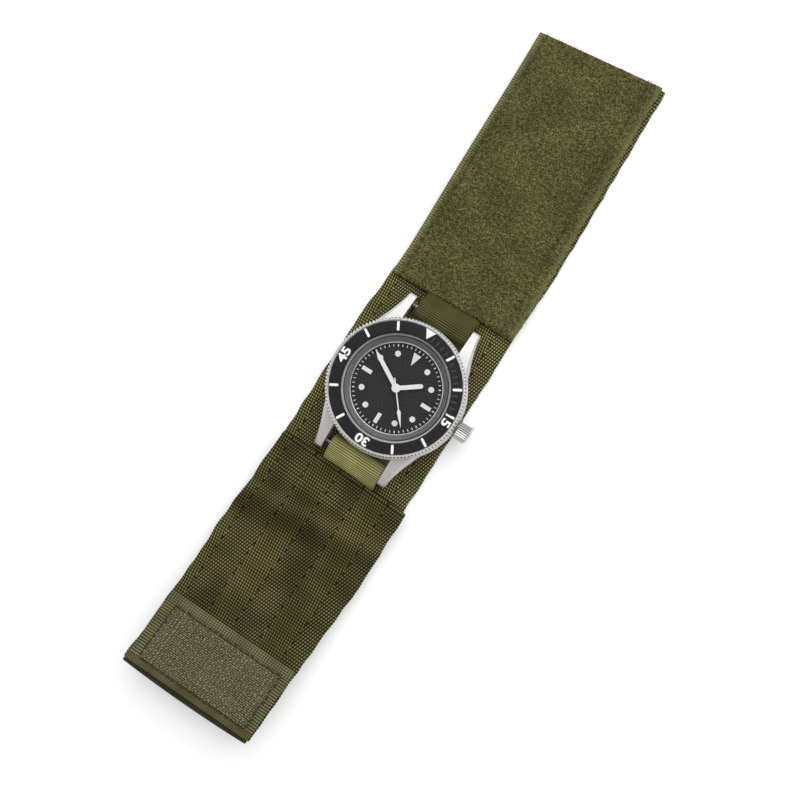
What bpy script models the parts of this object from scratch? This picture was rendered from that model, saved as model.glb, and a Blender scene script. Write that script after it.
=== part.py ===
"""A wide webbing wrist strap with a dive-style watch on its narrow pass-through band.

Metres, +Z up. The strap lies open along Y: the loop end (12 o'clock) at +Y, the hook end (6 o'clock) at -Y,
and the crown at +X. The watch's axis is at x = 0, y = 0, and the underside of the base band lies on z = 0.
"""

import math

import bmesh
import bpy
from mathutils import Matrix, Vector

for old in list(bpy.data.objects):
    bpy.data.objects.remove(old, do_unlink=True)

MM = 0.001

# Clearances
GAP = 0.3 * MM
FINE_GAP = 0.2 * MM
OVERRUN = 1.0 * MM

# Base band: its two ends are measured from the watch's axis
BAND_WIDTH = 42.0 * MM
BAND_THICK = 1.2 * MM
BAND_UPPER_LENGTH = 113.0 * MM
BAND_LOWER_LENGTH = 106.2 * MM
BAND_SIDE_SHIFT = -0.3 * MM
BAND_END_RISE = 9.43 * MM
BAND_END_SKEW = 4.4 * MM
UPPER_PART_SHARE = 0.16
RISE_POWER = 1.5
LOWER_PART_SHARE = 0.1939

# Loop panel, brushed pile with a flat selvage along its left edge
LOOP_LUG_SPACE = 3.5 * MM
LOOP_LANDING = 8.4 * MM
LOOP_MARGIN = 0.8 * MM
LOOP_THICK = 2.0 * MM
LOOP_SELVAGE_WIDTH = 2.3 * MM
LOOP_SELVAGE_THICK = 1.2 * MM

# Hook panels
HOOK_THICK = 1.0 * MM
BAND_HOOK_LENGTH = 24.2 * MM
HOOK_MARGIN = 0.8 * MM

# Cover flap
COVER_OVERHANG = 0.3 * MM
COVER_THICK = 1.2 * MM
COVER_LUG_SPACE = 2.4 * MM
COVER_FOLD_RADIUS = 0.2 * MM
COVER_RISER_LENGTH = 13.6 * MM
COVER_SPAN_MARGIN = 1.3 * MM
COVER_DROP_LENGTH = 11.0 * MM
COVER_END_LENGTH = 10.2 * MM
COVER_CREASE_RUN = 13.6 * MM
ANCHOR_LENGTH = 2.75 * MM

# Narrow band that carries the watch
WATCH_BAND_SIDE_SPACE = 0.5 * MM
WATCH_BAND_THICK = 0.9 * MM
WATCH_BAND_TUCK = 7.0 * MM
WATCH_BAND_BEND = 0.9 * MM

# Watch case
CASE_RADIUS = 20.3 * MM
CASE_HEIGHT = 5.1 * MM
CASE_CHAMFER = 0.7 * MM
CASE_SHOULDER = 3.1 * MM
CASE_WALL = 5.3 * MM
CASE_NECK_HEIGHT = 2.0 * MM
CASE_NECK_WALL = 0.8 * MM
CRYSTAL_BORE_DEPTH = 1.1 * MM
LUG_GAP = 19.2 * MM
LUG_LENGTH = 5.3 * MM
LUG_ROOT_WIDTH = 7.2 * MM
LUG_HEIGHT = 5.0 * MM
BAR_INSET = 2.5 * MM
BAR_RADIUS = 0.75 * MM
BAR_TIP_RADIUS = 0.4 * MM
BAR_TIP_LENGTH = 1.0 * MM
BAR_RISE = 0.7 * MM

# Case back
BACK_MARGIN = 3.1 * MM
BACK_THICK = 1.3 * MM
BACK_NECK_WALL = 1.6 * MM
BACK_NECK_HEIGHT = 1.2 * MM
BACK_NOTCH_COUNT = 6
BACK_NOTCH_WIDTH = 2.4 * MM
BACK_NOTCH_DEPTH = 1.0 * MM
BACK_GASKET_THICK = 0.6 * MM
BACK_GASKET_WIDTH = 0.7 * MM

# Bezel
BEZEL_INSET = 0.3 * MM
BEZEL_HEIGHT = 3.2 * MM
BEZEL_TOOTH_COUNT = 120
BEZEL_TOOTH_DEPTH = 0.35 * MM
BEZEL_CHAMFER = 0.5 * MM
BEZEL_PLATE_THICK = 0.4 * MM
BEZEL_RIM_WIDTH = 0.8 * MM
INSERT_THICK = 0.45 * MM
CLICK_RING_WIDTH = 1.0 * MM
CLICK_RING_THICK = 0.5 * MM

# Crystal, rehaut and dial
CRYSTAL_THICK = 2.0 * MM
CRYSTAL_DOME = 0.3 * MM
CRYSTAL_GASKET_WIDTH = 0.5 * MM
CRYSTAL_GASKET_HEIGHT = 0.9 * MM
REHAUT_HEIGHT = 1.4 * MM
REHAUT_WIDTH = 1.3 * MM
REHAUT_LIP = 0.25 * MM
DIAL_THICK = 0.4 * MM
MARK_THICK = 0.25 * MM
MARK_INSET = 3.5 * MM
DOT_RADIUS = 0.85 * MM
BAR_MARK_LENGTH = 3.1 * MM
BAR_MARK_WIDTH = 1.15 * MM
TRIANGLE_INSET = 2.1 * MM
TRIANGLE_LENGTH = 3.7 * MM
TRIANGLE_WIDTH = 2.4 * MM

# Hands: each tip is measured in from the foot of the rehaut
HAND_THICK = 0.2 * MM
HAND_LIFT = 0.7 * MM
ARBOR_RADIUS = 0.35 * MM
ARBOR_DEPTH = 0.6 * MM
HUB_WALL = 0.6 * MM
HOUR_HAND_INSET = 5.7 * MM
HOUR_HAND_WIDTH = 1.3 * MM
MINUTE_HAND_INSET = 1.0 * MM
MINUTE_HAND_WIDTH = 1.2 * MM
SECONDS_HAND_INSET = 1.9 * MM
SECONDS_TAIL_LENGTH = 2.9 * MM
SECONDS_SHAFT_WIDTH = 0.35 * MM
SECONDS_LANCE_WIDTH = 1.1 * MM
HOUR_HAND_TURN = math.radians(53.4)
MINUTE_HAND_TURN = math.radians(-60.5)
SECONDS_HAND_TURN = math.radians(140.5)

# Movement
MOVEMENT_HEIGHT = 3.9 * MM
HOLDER_WALL = 1.4 * MM
HOLDER_HEIGHT = 2.7 * MM
CELL_RADIUS = 4.75 * MM
CELL_THICK = 1.6 * MM
CELL_MARGIN = 2.05 * MM

# Crown, with its axis along X
CROWN_RADIUS = 3.1 * MM
CROWN_LENGTH = 4.2 * MM
CROWN_TOOTH_COUNT = 28
CROWN_TOOTH_DEPTH = 0.3 * MM
CROWN_DOME = 0.5 * MM
CROWN_BORE_DEPTH = 2.2 * MM
CROWN_SEAT_DEPTH = 1.0 * MM
TUBE_RADIUS = 1.6 * MM
TUBE_ENTRY = 1.6 * MM
TUBE_WALL = 0.75 * MM
STEM_RADIUS = 0.45 * MM
STEM_ENTRY = 1.8 * MM
CROWN_GASKET_THICK = 0.4 * MM
CROWN_SLACK = 0.3 * MM

# Facets round a turned piece
ROUND_COUNT = 48
RING_COUNT = 40
SMALL_COUNT = 16
PIN_COUNT = 12

# Radii that follow from the case's, and the places along the strap that follow from the lugs'
CASE_BORE_RADIUS = CASE_RADIUS - CASE_WALL
CASE_NECK_RADIUS = CASE_RADIUS - CASE_SHOULDER
BACK_RADIUS = CASE_RADIUS - BACK_MARGIN
BACK_BORE_RADIUS = CASE_BORE_RADIUS + BACK_GASKET_WIDTH + GAP + GAP
BACK_NECK_RADIUS = BACK_BORE_RADIUS - GAP
BEZEL_RADIUS = CASE_RADIUS - BEZEL_INSET
BEZEL_BORE_RADIUS = CASE_NECK_RADIUS + GAP
BEZEL_RECESS_RADIUS = BEZEL_RADIUS - BEZEL_RIM_WIDTH
CLICK_RING_RADIUS = BEZEL_BORE_RADIUS + CLICK_RING_WIDTH
CRYSTAL_BORE_RADIUS = CASE_NECK_RADIUS - CASE_NECK_WALL
CRYSTAL_GASKET_RADIUS = CRYSTAL_BORE_RADIUS - GAP
CRYSTAL_RADIUS = CRYSTAL_GASKET_RADIUS - CRYSTAL_GASKET_WIDTH - GAP
INSERT_INNER_RADIUS = CRYSTAL_RADIUS + GAP
INSERT_OUTER_RADIUS = BEZEL_RECESS_RADIUS - GAP
DIAL_RADIUS = CASE_BORE_RADIUS - GAP
REHAUT_RADIUS = CASE_BORE_RADIUS - GAP
REHAUT_FOOT_RADIUS = REHAUT_RADIUS - REHAUT_WIDTH
MARK_CIRCLE = REHAUT_FOOT_RADIUS - MARK_INSET
TRIANGLE_BASE_RADIUS = REHAUT_FOOT_RADIUS - TRIANGLE_INSET
TRIANGLE_TIP_RADIUS = TRIANGLE_BASE_RADIUS - TRIANGLE_LENGTH
HOUR_HAND_LENGTH = REHAUT_FOOT_RADIUS - HOUR_HAND_INSET
MINUTE_HAND_LENGTH = REHAUT_FOOT_RADIUS - MINUTE_HAND_INSET
SECONDS_HAND_LENGTH = REHAUT_FOOT_RADIUS - SECONDS_HAND_INSET
HOLDER_RADIUS = CASE_BORE_RADIUS - GAP - HOLDER_WALL
MOVEMENT_RADIUS = HOLDER_RADIUS - GAP
CELL_OFFSET = MOVEMENT_RADIUS - CELL_RADIUS - CELL_MARGIN
CROWN_START = CASE_RADIUS + CROWN_SLACK
CROWN_END = CROWN_START + CROWN_LENGTH
LUG_REACH = CASE_RADIUS + LUG_LENGTH
BAR_PLACE = LUG_REACH - BAR_INSET
WATCH_BAND_WIDTH = LUG_GAP - WATCH_BAND_SIDE_SPACE - WATCH_BAND_SIDE_SPACE
LOOP_START = LUG_REACH + LOOP_LUG_SPACE
UPPER_HINGE = LOOP_START + LOOP_LANDING
COVER_FOLD = LUG_REACH + COVER_LUG_SPACE
FOLD_OUTER_RADIUS = COVER_FOLD_RADIUS + COVER_THICK
FOLD_Y = -COVER_FOLD - FOLD_OUTER_RADIUS
ANCHOR_START = FOLD_Y - FOLD_OUTER_RADIUS - GAP
HALF_SLIT = GAP / 2
LOWER_HINGE = -ANCHOR_START + ANCHOR_LENGTH + HALF_SLIT
COVER_CREASE = LOWER_HINGE + COVER_CREASE_RUN
COVER_SPAN_LENGTH = BEZEL_RADIUS * 2 + COVER_SPAN_MARGIN
UPPER_PART_LENGTH = (BAND_UPPER_LENGTH - UPPER_HINGE) * UPPER_PART_SHARE
LOWER_PART_LENGTH = (BAND_LOWER_LENGTH - LOWER_HINGE) * LOWER_PART_SHARE

# Heights, from the base band's underside up
WATCH_BAND_FLOOR = BAND_THICK + GAP
WATCH_BAND_TOP = WATCH_BAND_FLOOR + WATCH_BAND_THICK
ANCHOR_FLOOR = WATCH_BAND_TOP + GAP
FOLD_Z = ANCHOR_FLOOR + FOLD_OUTER_RADIUS
BACK_FLOOR = WATCH_BAND_TOP + GAP
BACK_TOP = BACK_FLOOR + BACK_THICK
BACK_NECK_TOP = BACK_TOP + BACK_NECK_HEIGHT
BACK_GASKET_FLOOR = BACK_NECK_TOP + GAP
BACK_BORE_TOP = BACK_GASKET_FLOOR + BACK_GASKET_THICK + GAP
CASE_FLOOR = BACK_TOP + GAP
CASE_TOP = CASE_FLOOR + CASE_HEIGHT
NECK_TOP = CASE_TOP + CASE_NECK_HEIGHT
CRYSTAL_SEAT = NECK_TOP - CRYSTAL_BORE_DEPTH
BAR_HEIGHT = CASE_FLOOR + BAR_RISE
STEM_HEIGHT = CASE_FLOOR + CASE_HEIGHT / 2
MOVEMENT_FLOOR = BACK_TOP + GAP
MOVEMENT_TOP = MOVEMENT_FLOOR + MOVEMENT_HEIGHT
DIAL_FLOOR = MOVEMENT_TOP + GAP
DIAL_TOP = DIAL_FLOOR + DIAL_THICK
REHAUT_FLOOR = DIAL_TOP + GAP
REHAUT_TOP = REHAUT_FLOOR + REHAUT_HEIGHT
CRYSTAL_FLOOR = REHAUT_TOP + GAP
CRYSTAL_EDGE_TOP = CRYSTAL_FLOOR + CRYSTAL_THICK
BEZEL_FLOOR = CASE_TOP + GAP
BEZEL_TOP = BEZEL_FLOOR + BEZEL_HEIGHT
BEZEL_PLATE_FLOOR = NECK_TOP + GAP
BEZEL_PLATE_TOP = BEZEL_PLATE_FLOOR + BEZEL_PLATE_THICK
INSERT_FLOOR = BEZEL_PLATE_TOP + GAP


def material(name, colour, roughness, metallic=0.0, alpha=1.0):
    made = bpy.data.materials.new(name)
    made.use_nodes = True
    shader = made.node_tree.nodes["Principled BSDF"]
    shader.inputs["Base Color"].default_value = (*colour, 1.0)
    shader.inputs["Roughness"].default_value = roughness
    shader.inputs["Metallic"].default_value = metallic
    shader.inputs["Alpha"].default_value = alpha
    made.diffuse_color = (*colour, alpha)
    return made


OLIVE = (0.115, 0.105, 0.038)
LOOP_OLIVE = (0.105, 0.100, 0.042)
HOOK_GREEN = (0.120, 0.115, 0.060)
NARROW_OLIVE = (0.200, 0.200, 0.055)
STEEL = (0.62, 0.63, 0.64)
BLACK = (0.012, 0.012, 0.013)
WHITE = (0.85, 0.87, 0.84)
RUBBER = (0.02, 0.02, 0.02)
BRASS = (0.72, 0.55, 0.28)


def place(name, bm, origin, made_of, parent=None, smooth=None):
    """Turns a bmesh in world places into an object whose origin is at origin."""
    bmesh.ops.remove_doubles(bm, verts=bm.verts, dist=GAP / 1000)
    bmesh.ops.recalc_face_normals(bm, faces=bm.faces)
    bmesh.ops.translate(bm, verts=bm.verts, vec=-Vector(origin))
    mesh = bpy.data.meshes.new(name)
    bm.to_mesh(mesh)
    bm.free()
    mesh.materials.append(made_of)
    if smooth:
        mesh.shade_smooth()
        mesh.set_sharp_from_angle(angle=math.radians(smooth))
    made = bpy.data.objects.new(name, mesh)
    bpy.context.collection.objects.link(made)
    made.location = origin
    bpy.context.view_layer.update()
    if parent:
        made.parent = parent
        made.matrix_parent_inverse = parent.matrix_world.inverted()
        bpy.context.view_layer.update()
    return made


def cut(target, cutter, operation="DIFFERENCE"):
    """Adds a Boolean that stays on the target. The cutter is a guide and isn't part of the object."""
    cutter.hide_render = True
    cutter.display_type = "WIRE"
    made = target.modifiers.new(cutter.name, "BOOLEAN")
    made.operation = operation
    made.solver = "EXACT"
    made.object = cutter


def turned(profile, steps=ROUND_COUNT, axis="Z", centre=(0, 0, 0)):
    """Spins a closed profile of (radius, height) points once round an axis through centre."""
    bm = bmesh.new()
    ring = [bm.verts.new((r, 0, h)) for r, h in profile]
    edges = []
    for i, vert in enumerate(ring):
        after = ring[(i + 1) % len(ring)]
        on_axis = abs(vert.co.x) < GAP / 100 and abs(after.co.x) < GAP / 100
        if not on_axis:
            edges.append(bm.edges.new((vert, after)))
    bmesh.ops.spin(bm, geom=ring + edges, cent=(0, 0, 0), axis=(0, 0, 1), dvec=(0, 0, 0),
                   angle=math.tau, steps=steps, use_merge=True, use_duplicate=False)
    bmesh.ops.remove_doubles(bm, verts=bm.verts, dist=GAP / 1000)
    if axis == "X":
        bmesh.ops.rotate(bm, verts=bm.verts, cent=(0, 0, 0), matrix=Matrix.Rotation(math.pi / 2, 3, "Y"))
    bmesh.ops.translate(bm, verts=bm.verts, vec=Vector(centre))
    return bm


def toothed(profile, teeth, depth, axis="Z", centre=(0, 0, 0)):
    """A solid turned from (radius, height, cut share) points from base to top, with straight-cut teeth."""
    bm = bmesh.new()
    count = teeth * 2
    rings = []
    for radius, height, share in profile:
        ring = []
        for i in range(count):
            r = radius - depth * share * (i % 2)
            angle = math.tau * i / count
            ring.append(bm.verts.new((r * math.cos(angle), r * math.sin(angle), height)))
        rings.append(ring)
    for low, high in zip(rings, rings[1:]):
        for i in range(count):
            j = (i + 1) % count
            bm.faces.new((low[i], low[j], high[j], high[i]))
    bm.faces.new(list(reversed(rings[0])))
    bm.faces.new(rings[-1])
    if axis == "X":
        bmesh.ops.rotate(bm, verts=bm.verts, cent=(0, 0, 0), matrix=Matrix.Rotation(math.pi / 2, 3, "Y"))
    bmesh.ops.translate(bm, verts=bm.verts, vec=Vector(centre))
    return bm


def swept(section, stations, end_skew=0.0):
    """Lofts (across, lift) points along stations, each a point (y, z) and its upward normal (y, z).

    The far end is cut askew by end_skew from one edge of the band to the other.
    """
    bm = bmesh.new()
    rings = []
    for (y, z), (ny, nz) in stations:
        rings.append([bm.verts.new((x, y + h * ny, z + h * nz)) for x, h in section])
    for vert in rings[-1]:
        vert.co.y += end_skew * vert.co.x / BAND_WIDTH
    for near, far in zip(rings, rings[1:]):
        for i in range(len(section)):
            j = (i + 1) % len(section)
            bm.faces.new((near[i], near[j], far[j], far[i]))
    bm.faces.new(list(reversed(rings[0])))
    bm.faces.new(rings[-1])
    return bm


def prism(outline, low, high, turn=0.0):
    """A flat plate with the outline (x, y), turned clockwise seen from above, from low to high."""
    bm = bmesh.new()
    base = bm.faces.new([bm.verts.new((x, y, low)) for x, y in outline])
    raised = bmesh.ops.extrude_face_region(bm, geom=[base])["geom"]
    up = [v for v in raised if isinstance(v, bmesh.types.BMVert)]
    bmesh.ops.translate(bm, verts=up, vec=(0, 0, high - low))
    bmesh.ops.rotate(bm, verts=bm.verts, cent=(0, 0, 0), matrix=Matrix.Rotation(-turn, 3, "Z"))
    return bm


def ring_profile(inner, outer, low, high):
    return [(inner, low), (outer, low), (outer, high), (inner, high)]


def disc_profile(radius, low, high):
    return [(0, low), (radius, low), (radius, high), (0, high)]


def fabric_section(left, right, low, high):
    """A woven edge is thinner than the cloth: the four long edges are drawn in."""
    draw = (high - low) / 3
    return [
        (left + draw, low), (right - draw, low), (right, low + draw), (right, high - draw),
        (right - draw, high), (left + draw, high), (left, high - draw), (left, low + draw),
    ]


def smoothstep(t):
    t = min(1.0, max(0.0, t))
    return t * t * (3 - 2 * t)


# Where the fabric's bending parts meet
UPPER_EDGES = [UPPER_HINGE + UPPER_PART_LENGTH * i for i in range(4)] + [BAND_UPPER_LENGTH]
LOWER_EDGES = [LOWER_HINGE + LOWER_PART_LENGTH * i for i in range(4)] + [BAND_LOWER_LENGTH]
COVER_LENGTHS = [COVER_RISER_LENGTH, COVER_SPAN_LENGTH, COVER_DROP_LENGTH, COVER_END_LENGTH]
COVER_EDGES = [-FOLD_Y + sum(COVER_LENGTHS[:i]) for i in range(5)]


def band_floor(y):
    """Height of the base band's underside: it lies flat, and curls up off the table towards its lower end."""
    along = max(0.0, (-LOWER_HINGE - y) / (BAND_LOWER_LENGTH - LOWER_HINGE))
    return BAND_END_RISE * along ** RISE_POWER


def cover_floor(y):
    """Height of the open flap's underside: over its anchor at the fold, then down on the base band."""
    on_band = band_floor(y) + BAND_THICK + GAP
    fold_height = FOLD_Z + COVER_FOLD_RADIUS
    down = smoothstep((-LOWER_HINGE - y) / (COVER_CREASE - LOWER_HINGE))
    return fold_height + (on_band - fold_height) * down


def stations_along(floor, start, end, count):
    """Stations on a floor height, with its normals, from start to end."""
    step = (end - start) / count
    found = []
    for i in range(count + 1):
        y = start + step * i
        near = y + step / 100
        slope = (floor(near) - floor(y)) / (near - y)
        size = math.hypot(1, slope)
        found.append(((y, floor(y)), (-slope / size, 1 / size)))
    return found


def axis_point(y, floor, lift=0.0):
    (py, pz), (ny, nz) = stations_along(floor, y, y - OVERRUN, 1)[0]
    return (0, py + lift * ny, pz + lift * nz)


# Base band
webbing = material("webbing", OLIVE, 0.85)
loop_cloth = material("loop_cloth", LOOP_OLIVE, 0.95)
hook_cloth = material("hook_cloth", HOOK_GREEN, 0.6)
narrow_webbing = material("narrow_webbing", NARROW_OLIVE, 0.8)

BAND_LEFT = -BAND_WIDTH / 2 + BAND_SIDE_SHIFT
BAND_RIGHT = BAND_WIDTH / 2 + BAND_SIDE_SHIFT
band_section = fabric_section(BAND_LEFT, BAND_RIGHT, 0, BAND_THICK)

centre = place(
    "base_band_center",
    swept(band_section, stations_along(band_floor, -LOWER_HINGE + HALF_SLIT, UPPER_HINGE - HALF_SLIT, 1)),
    (0, 0, 0), webbing)

upper_parts = []
for i in range(4):
    start = UPPER_EDGES[i] + HALF_SLIT
    end = UPPER_EDGES[i + 1] - (HALF_SLIT if i < 3 else 0)
    upper_parts.append(place(
        f"base_band_upper_{i + 1}",
        swept(band_section, stations_along(band_floor, start, end, 1), BAND_END_SKEW if i == 3 else 0),
        (0, UPPER_EDGES[i], 0), webbing, parent=upper_parts[-1] if upper_parts else centre))

lower_parts = []
for i in range(4):
    start = -LOWER_EDGES[i] - HALF_SLIT
    end = -LOWER_EDGES[i + 1] + (HALF_SLIT if i < 3 else 0)
    lower_parts.append(place(
        f"base_band_lower_{i + 1}", swept(band_section, stations_along(band_floor, start, end, 6)),
        axis_point(-LOWER_EDGES[i], band_floor), webbing, parent=lower_parts[-1] if lower_parts else centre))

# Loop panel
LOOP_FLOOR = BAND_THICK + GAP
LOOP_LEFT = -BAND_WIDTH / 2 + LOOP_MARGIN
LOOP_RIGHT = BAND_WIDTH / 2 - LOOP_MARGIN
LOOP_SHOULDER = (LOOP_THICK - LOOP_SELVAGE_THICK) / 2
loop_section = [
    (LOOP_LEFT, 0), (LOOP_RIGHT, 0), (LOOP_RIGHT, LOOP_SELVAGE_THICK),
    (LOOP_RIGHT - LOOP_SHOULDER, LOOP_THICK), (LOOP_LEFT + LOOP_SELVAGE_WIDTH + LOOP_SHOULDER, LOOP_THICK),
    (LOOP_LEFT + LOOP_SELVAGE_WIDTH, LOOP_SELVAGE_THICK), (LOOP_LEFT, LOOP_SELVAGE_THICK),
]


def loop_floor(y):
    return LOOP_FLOOR


loop_centre = place(
    "loop_panel_center",
    swept(loop_section, stations_along(loop_floor, LOOP_START, UPPER_HINGE - HALF_SLIT, 1)),
    (0, LOOP_START, LOOP_FLOOR), loop_cloth, parent=centre)
for i in range(4):
    start = UPPER_EDGES[i] + HALF_SLIT
    end = UPPER_EDGES[i + 1] - (HALF_SLIT if i < 3 else 0)
    place(f"loop_panel_{i + 1}",
          swept(loop_section, stations_along(loop_floor, start, end, 1), BAND_END_SKEW if i == 3 else 0),
          (0, UPPER_EDGES[i], 0), loop_cloth, parent=upper_parts[i])

# The narrow band runs into a slit under the panel's near edge
SLIT_HALF_WIDTH = WATCH_BAND_WIDTH / 2 + GAP
SLIT_END = LOOP_START + WATCH_BAND_TUCK
slit_section = [
    (-SLIT_HALF_WIDTH, -OVERRUN), (SLIT_HALF_WIDTH, -OVERRUN),
    (SLIT_HALF_WIDTH, WATCH_BAND_THICK + GAP), (-SLIT_HALF_WIDTH, WATCH_BAND_THICK + GAP),
]
slit = place(
    "slit_cutter", swept(slit_section, stations_along(loop_floor, LOOP_START - OVERRUN, SLIT_END, 1)),
    (0, LOOP_START, 0), loop_cloth)
cut(loop_centre, slit)

# Hooks below the lower end
hook_start = -BAND_LOWER_LENGTH + BAND_HOOK_LENGTH
hook_section = fabric_section(BAND_LEFT + HOOK_MARGIN, BAND_RIGHT - HOOK_MARGIN, -GAP - HOOK_THICK, -GAP)
place("band_hook_panel",
      swept(hook_section, stations_along(band_floor, hook_start, -BAND_LOWER_LENGTH + GAP, 6)),
      (0, hook_start, band_floor(hook_start)), hook_cloth, parent=lower_parts[3])

# Cover flap
COVER_SIDE = BAND_WIDTH / 2 + COVER_OVERHANG
COVER_HOOK_SIDE = COVER_SIDE - HOOK_MARGIN
COVER_HOOK_FLOOR = COVER_THICK + GAP
cover_section = fabric_section(-COVER_SIDE, COVER_SIDE, 0, COVER_THICK)
cover_hook_section = fabric_section(
    -COVER_HOOK_SIDE, COVER_HOOK_SIDE, COVER_HOOK_FLOOR, COVER_HOOK_FLOOR + HOOK_THICK)


def anchor_floor(y):
    return ANCHOR_FLOOR


place("cover_anchor",
      swept(cover_section, stations_along(anchor_floor, ANCHOR_START, -LOWER_HINGE + HALF_SLIT, 1)),
      (0, ANCHOR_START, ANCHOR_FLOOR), webbing, parent=centre)

fold_stations = []
for i in range(5):
    angle = math.pi / 2 * i / 5
    ny, nz = math.cos(angle), math.sin(angle)
    fold_stations.append(((FOLD_Y + COVER_FOLD_RADIUS * ny, FOLD_Z + COVER_FOLD_RADIUS * nz), (ny, nz)))

# The bends over the watch turn on the face that closes inwards, the last one on the other face
COVER_BEND_LIFTS = [0, COVER_THICK, COVER_THICK, 0]
COVER_STEPS = [8, 10, 3, 3]
cover_parts = []
for i in range(4):
    start = -COVER_EDGES[i] - (HALF_SLIT if i else 0)
    end = -COVER_EDGES[i + 1] + (HALF_SLIT if i < 3 else 0)
    line = stations_along(cover_floor, start, end, COVER_STEPS[i])
    if i == 0:
        line = fold_stations + line
        at = (0, FOLD_Y, FOLD_Z)
    else:
        at = axis_point(-COVER_EDGES[i], cover_floor, COVER_BEND_LIFTS[i])
    cover_parts.append(place(
        f"cover_flap_{i + 1}", swept(cover_section, line), at, webbing,
        parent=cover_parts[-1] if cover_parts else centre))
for i in (2, 3):
    start = -COVER_EDGES[i] - HALF_SLIT
    end = -COVER_EDGES[i + 1] + (HALF_SLIT if i < 3 else GAP)
    line = stations_along(cover_floor, start, end, 3)
    place(f"cover_hook_panel_{i - 1}", swept(cover_hook_section, line),
          axis_point(-COVER_EDGES[i], cover_floor, COVER_THICK), hook_cloth, parent=cover_parts[i])

# Narrow watch band
BAND_MIDDLE = WATCH_BAND_FLOOR + WATCH_BAND_THICK / 2
BAR_CLEAR = BAR_RADIUS + GAP + WATCH_BAND_THICK / 2
OVER_BAR = BAR_HEIGHT + BAR_CLEAR + FINE_GAP
BESIDE_BAR = BAR_CLEAR * 3 / 4
OUTER_FOOT = BAR_PLACE + BAR_CLEAR + OVERRUN
INNER_FOOT = BAR_PLACE - BAR_CLEAR - OVERRUN


def rounded_path(points, radius, steps):
    """A polyline in (y, z) with its inner corners rounded by a radius, or less where it is short."""
    found = [points[0]]
    for before, corner, after in zip(points, points[1:], points[2:]):
        back = Vector(before) - Vector(corner)
        ahead = Vector(after) - Vector(corner)
        half = back.angle(ahead) / 2
        reach = min(radius / math.tan(half), back.length / 2, ahead.length / 2)
        start = Vector(corner) + back.normalized() * reach
        end = Vector(corner) + ahead.normalized() * reach
        for i in range(steps + 1):
            t = i / steps
            found.append(tuple(start * (1 - t) ** 2 + Vector(corner) * 2 * t * (1 - t) + end * t ** 2))
    found.append(points[-1])
    return found


side = [(OUTER_FOOT, BAND_MIDDLE), (BAR_PLACE + BESIDE_BAR, OVER_BAR), (BAR_PLACE - BESIDE_BAR, OVER_BAR),
        (INNER_FOOT, BAND_MIDDLE)]
route = ([(-LOWER_HINGE + GAP, BAND_MIDDLE)] + [(-y, z) for y, z in side] + list(reversed(side))
         + [(SLIT_END - GAP, BAND_MIDDLE)])
path = rounded_path(route, WATCH_BAND_BEND, 4)
band_stations = []
for i, point in enumerate(path):
    before = Vector(path[max(i - 1, 0)])
    after = Vector(path[min(i + 1, len(path) - 1)])
    ahead = (after - before).normalized()
    band_stations.append((point, (-ahead.y, ahead.x)))
narrow_section = fabric_section(
    -WATCH_BAND_WIDTH / 2, WATCH_BAND_WIDTH / 2, -WATCH_BAND_THICK / 2, WATCH_BAND_THICK / 2)
place("watch_band", swept(narrow_section, band_stations), (0, 0, BAND_MIDDLE), narrow_webbing, parent=centre)

# Middle case with lugs
steel = material("steel", STEEL, 0.3, 1.0)
case = place(
    "mid_case",
    turned([(0, CASE_FLOOR), (CASE_RADIUS - CASE_CHAMFER, CASE_FLOOR),
            (CASE_RADIUS, CASE_FLOOR + CASE_CHAMFER), (CASE_RADIUS, CASE_TOP - CASE_CHAMFER),
            (CASE_RADIUS - CASE_CHAMFER, CASE_TOP), (CASE_NECK_RADIUS, CASE_TOP), (CASE_NECK_RADIUS, NECK_TOP),
            (0, NECK_TOP)]),
    (0, 0, CASE_FLOOR), steel, parent=centre, smooth=30)

# Along a lug from root to tip: shares of its reach, root width, and height for its top and its underside
LUG_SHARES = [
    (0.46, 0.94, 0.98, 0.06), (0.53, 0.81, 0.97, 0.04), (0.61, 0.71, 0.94, 0.02),
    (0.71, 0.57, 0.86, -0.04), (0.82, 0.45, 0.73, -0.10), (0.92, 0.37, 0.55, -0.14),
    (0.98, 0.34, 0.40, -0.12), (1.00, 0.32, 0.32, -0.04),
]


def lug(side_x, side_y):
    bm = bmesh.new()
    rings = []
    for along, width, top, under in LUG_SHARES:
        y = LUG_REACH * along * side_y
        inner = LUG_GAP / 2 * side_x
        outer = (LUG_GAP / 2 + LUG_ROOT_WIDTH * width) * side_x
        low = CASE_FLOOR + LUG_HEIGHT * under
        high = CASE_FLOOR + LUG_HEIGHT * top
        edge = (high - low) / 5
        inset = (outer - inner) / 5
        corners = [(inner, low), (outer - inset, low), (outer, low + edge), (outer, high - edge),
                   (outer - inset, high), (inner, high)]
        rings.append([bm.verts.new((x, y, z)) for x, z in corners])
    for near, far in zip(rings, rings[1:]):
        for i in range(len(near)):
            j = (i + 1) % len(near)
            bm.faces.new((near[i], near[j], far[j], far[i]))
    bm.faces.new(list(reversed(rings[0])))
    bm.faces.new(rings[-1])
    return bm


for side_x in (-1, 1):
    for side_y in (-1, 1):
        shape = place(f"lug_form_{side_x}_{side_y}", lug(side_x, side_y), (0, 0, 0), steel)
        cut(case, shape, "UNION")

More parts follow.
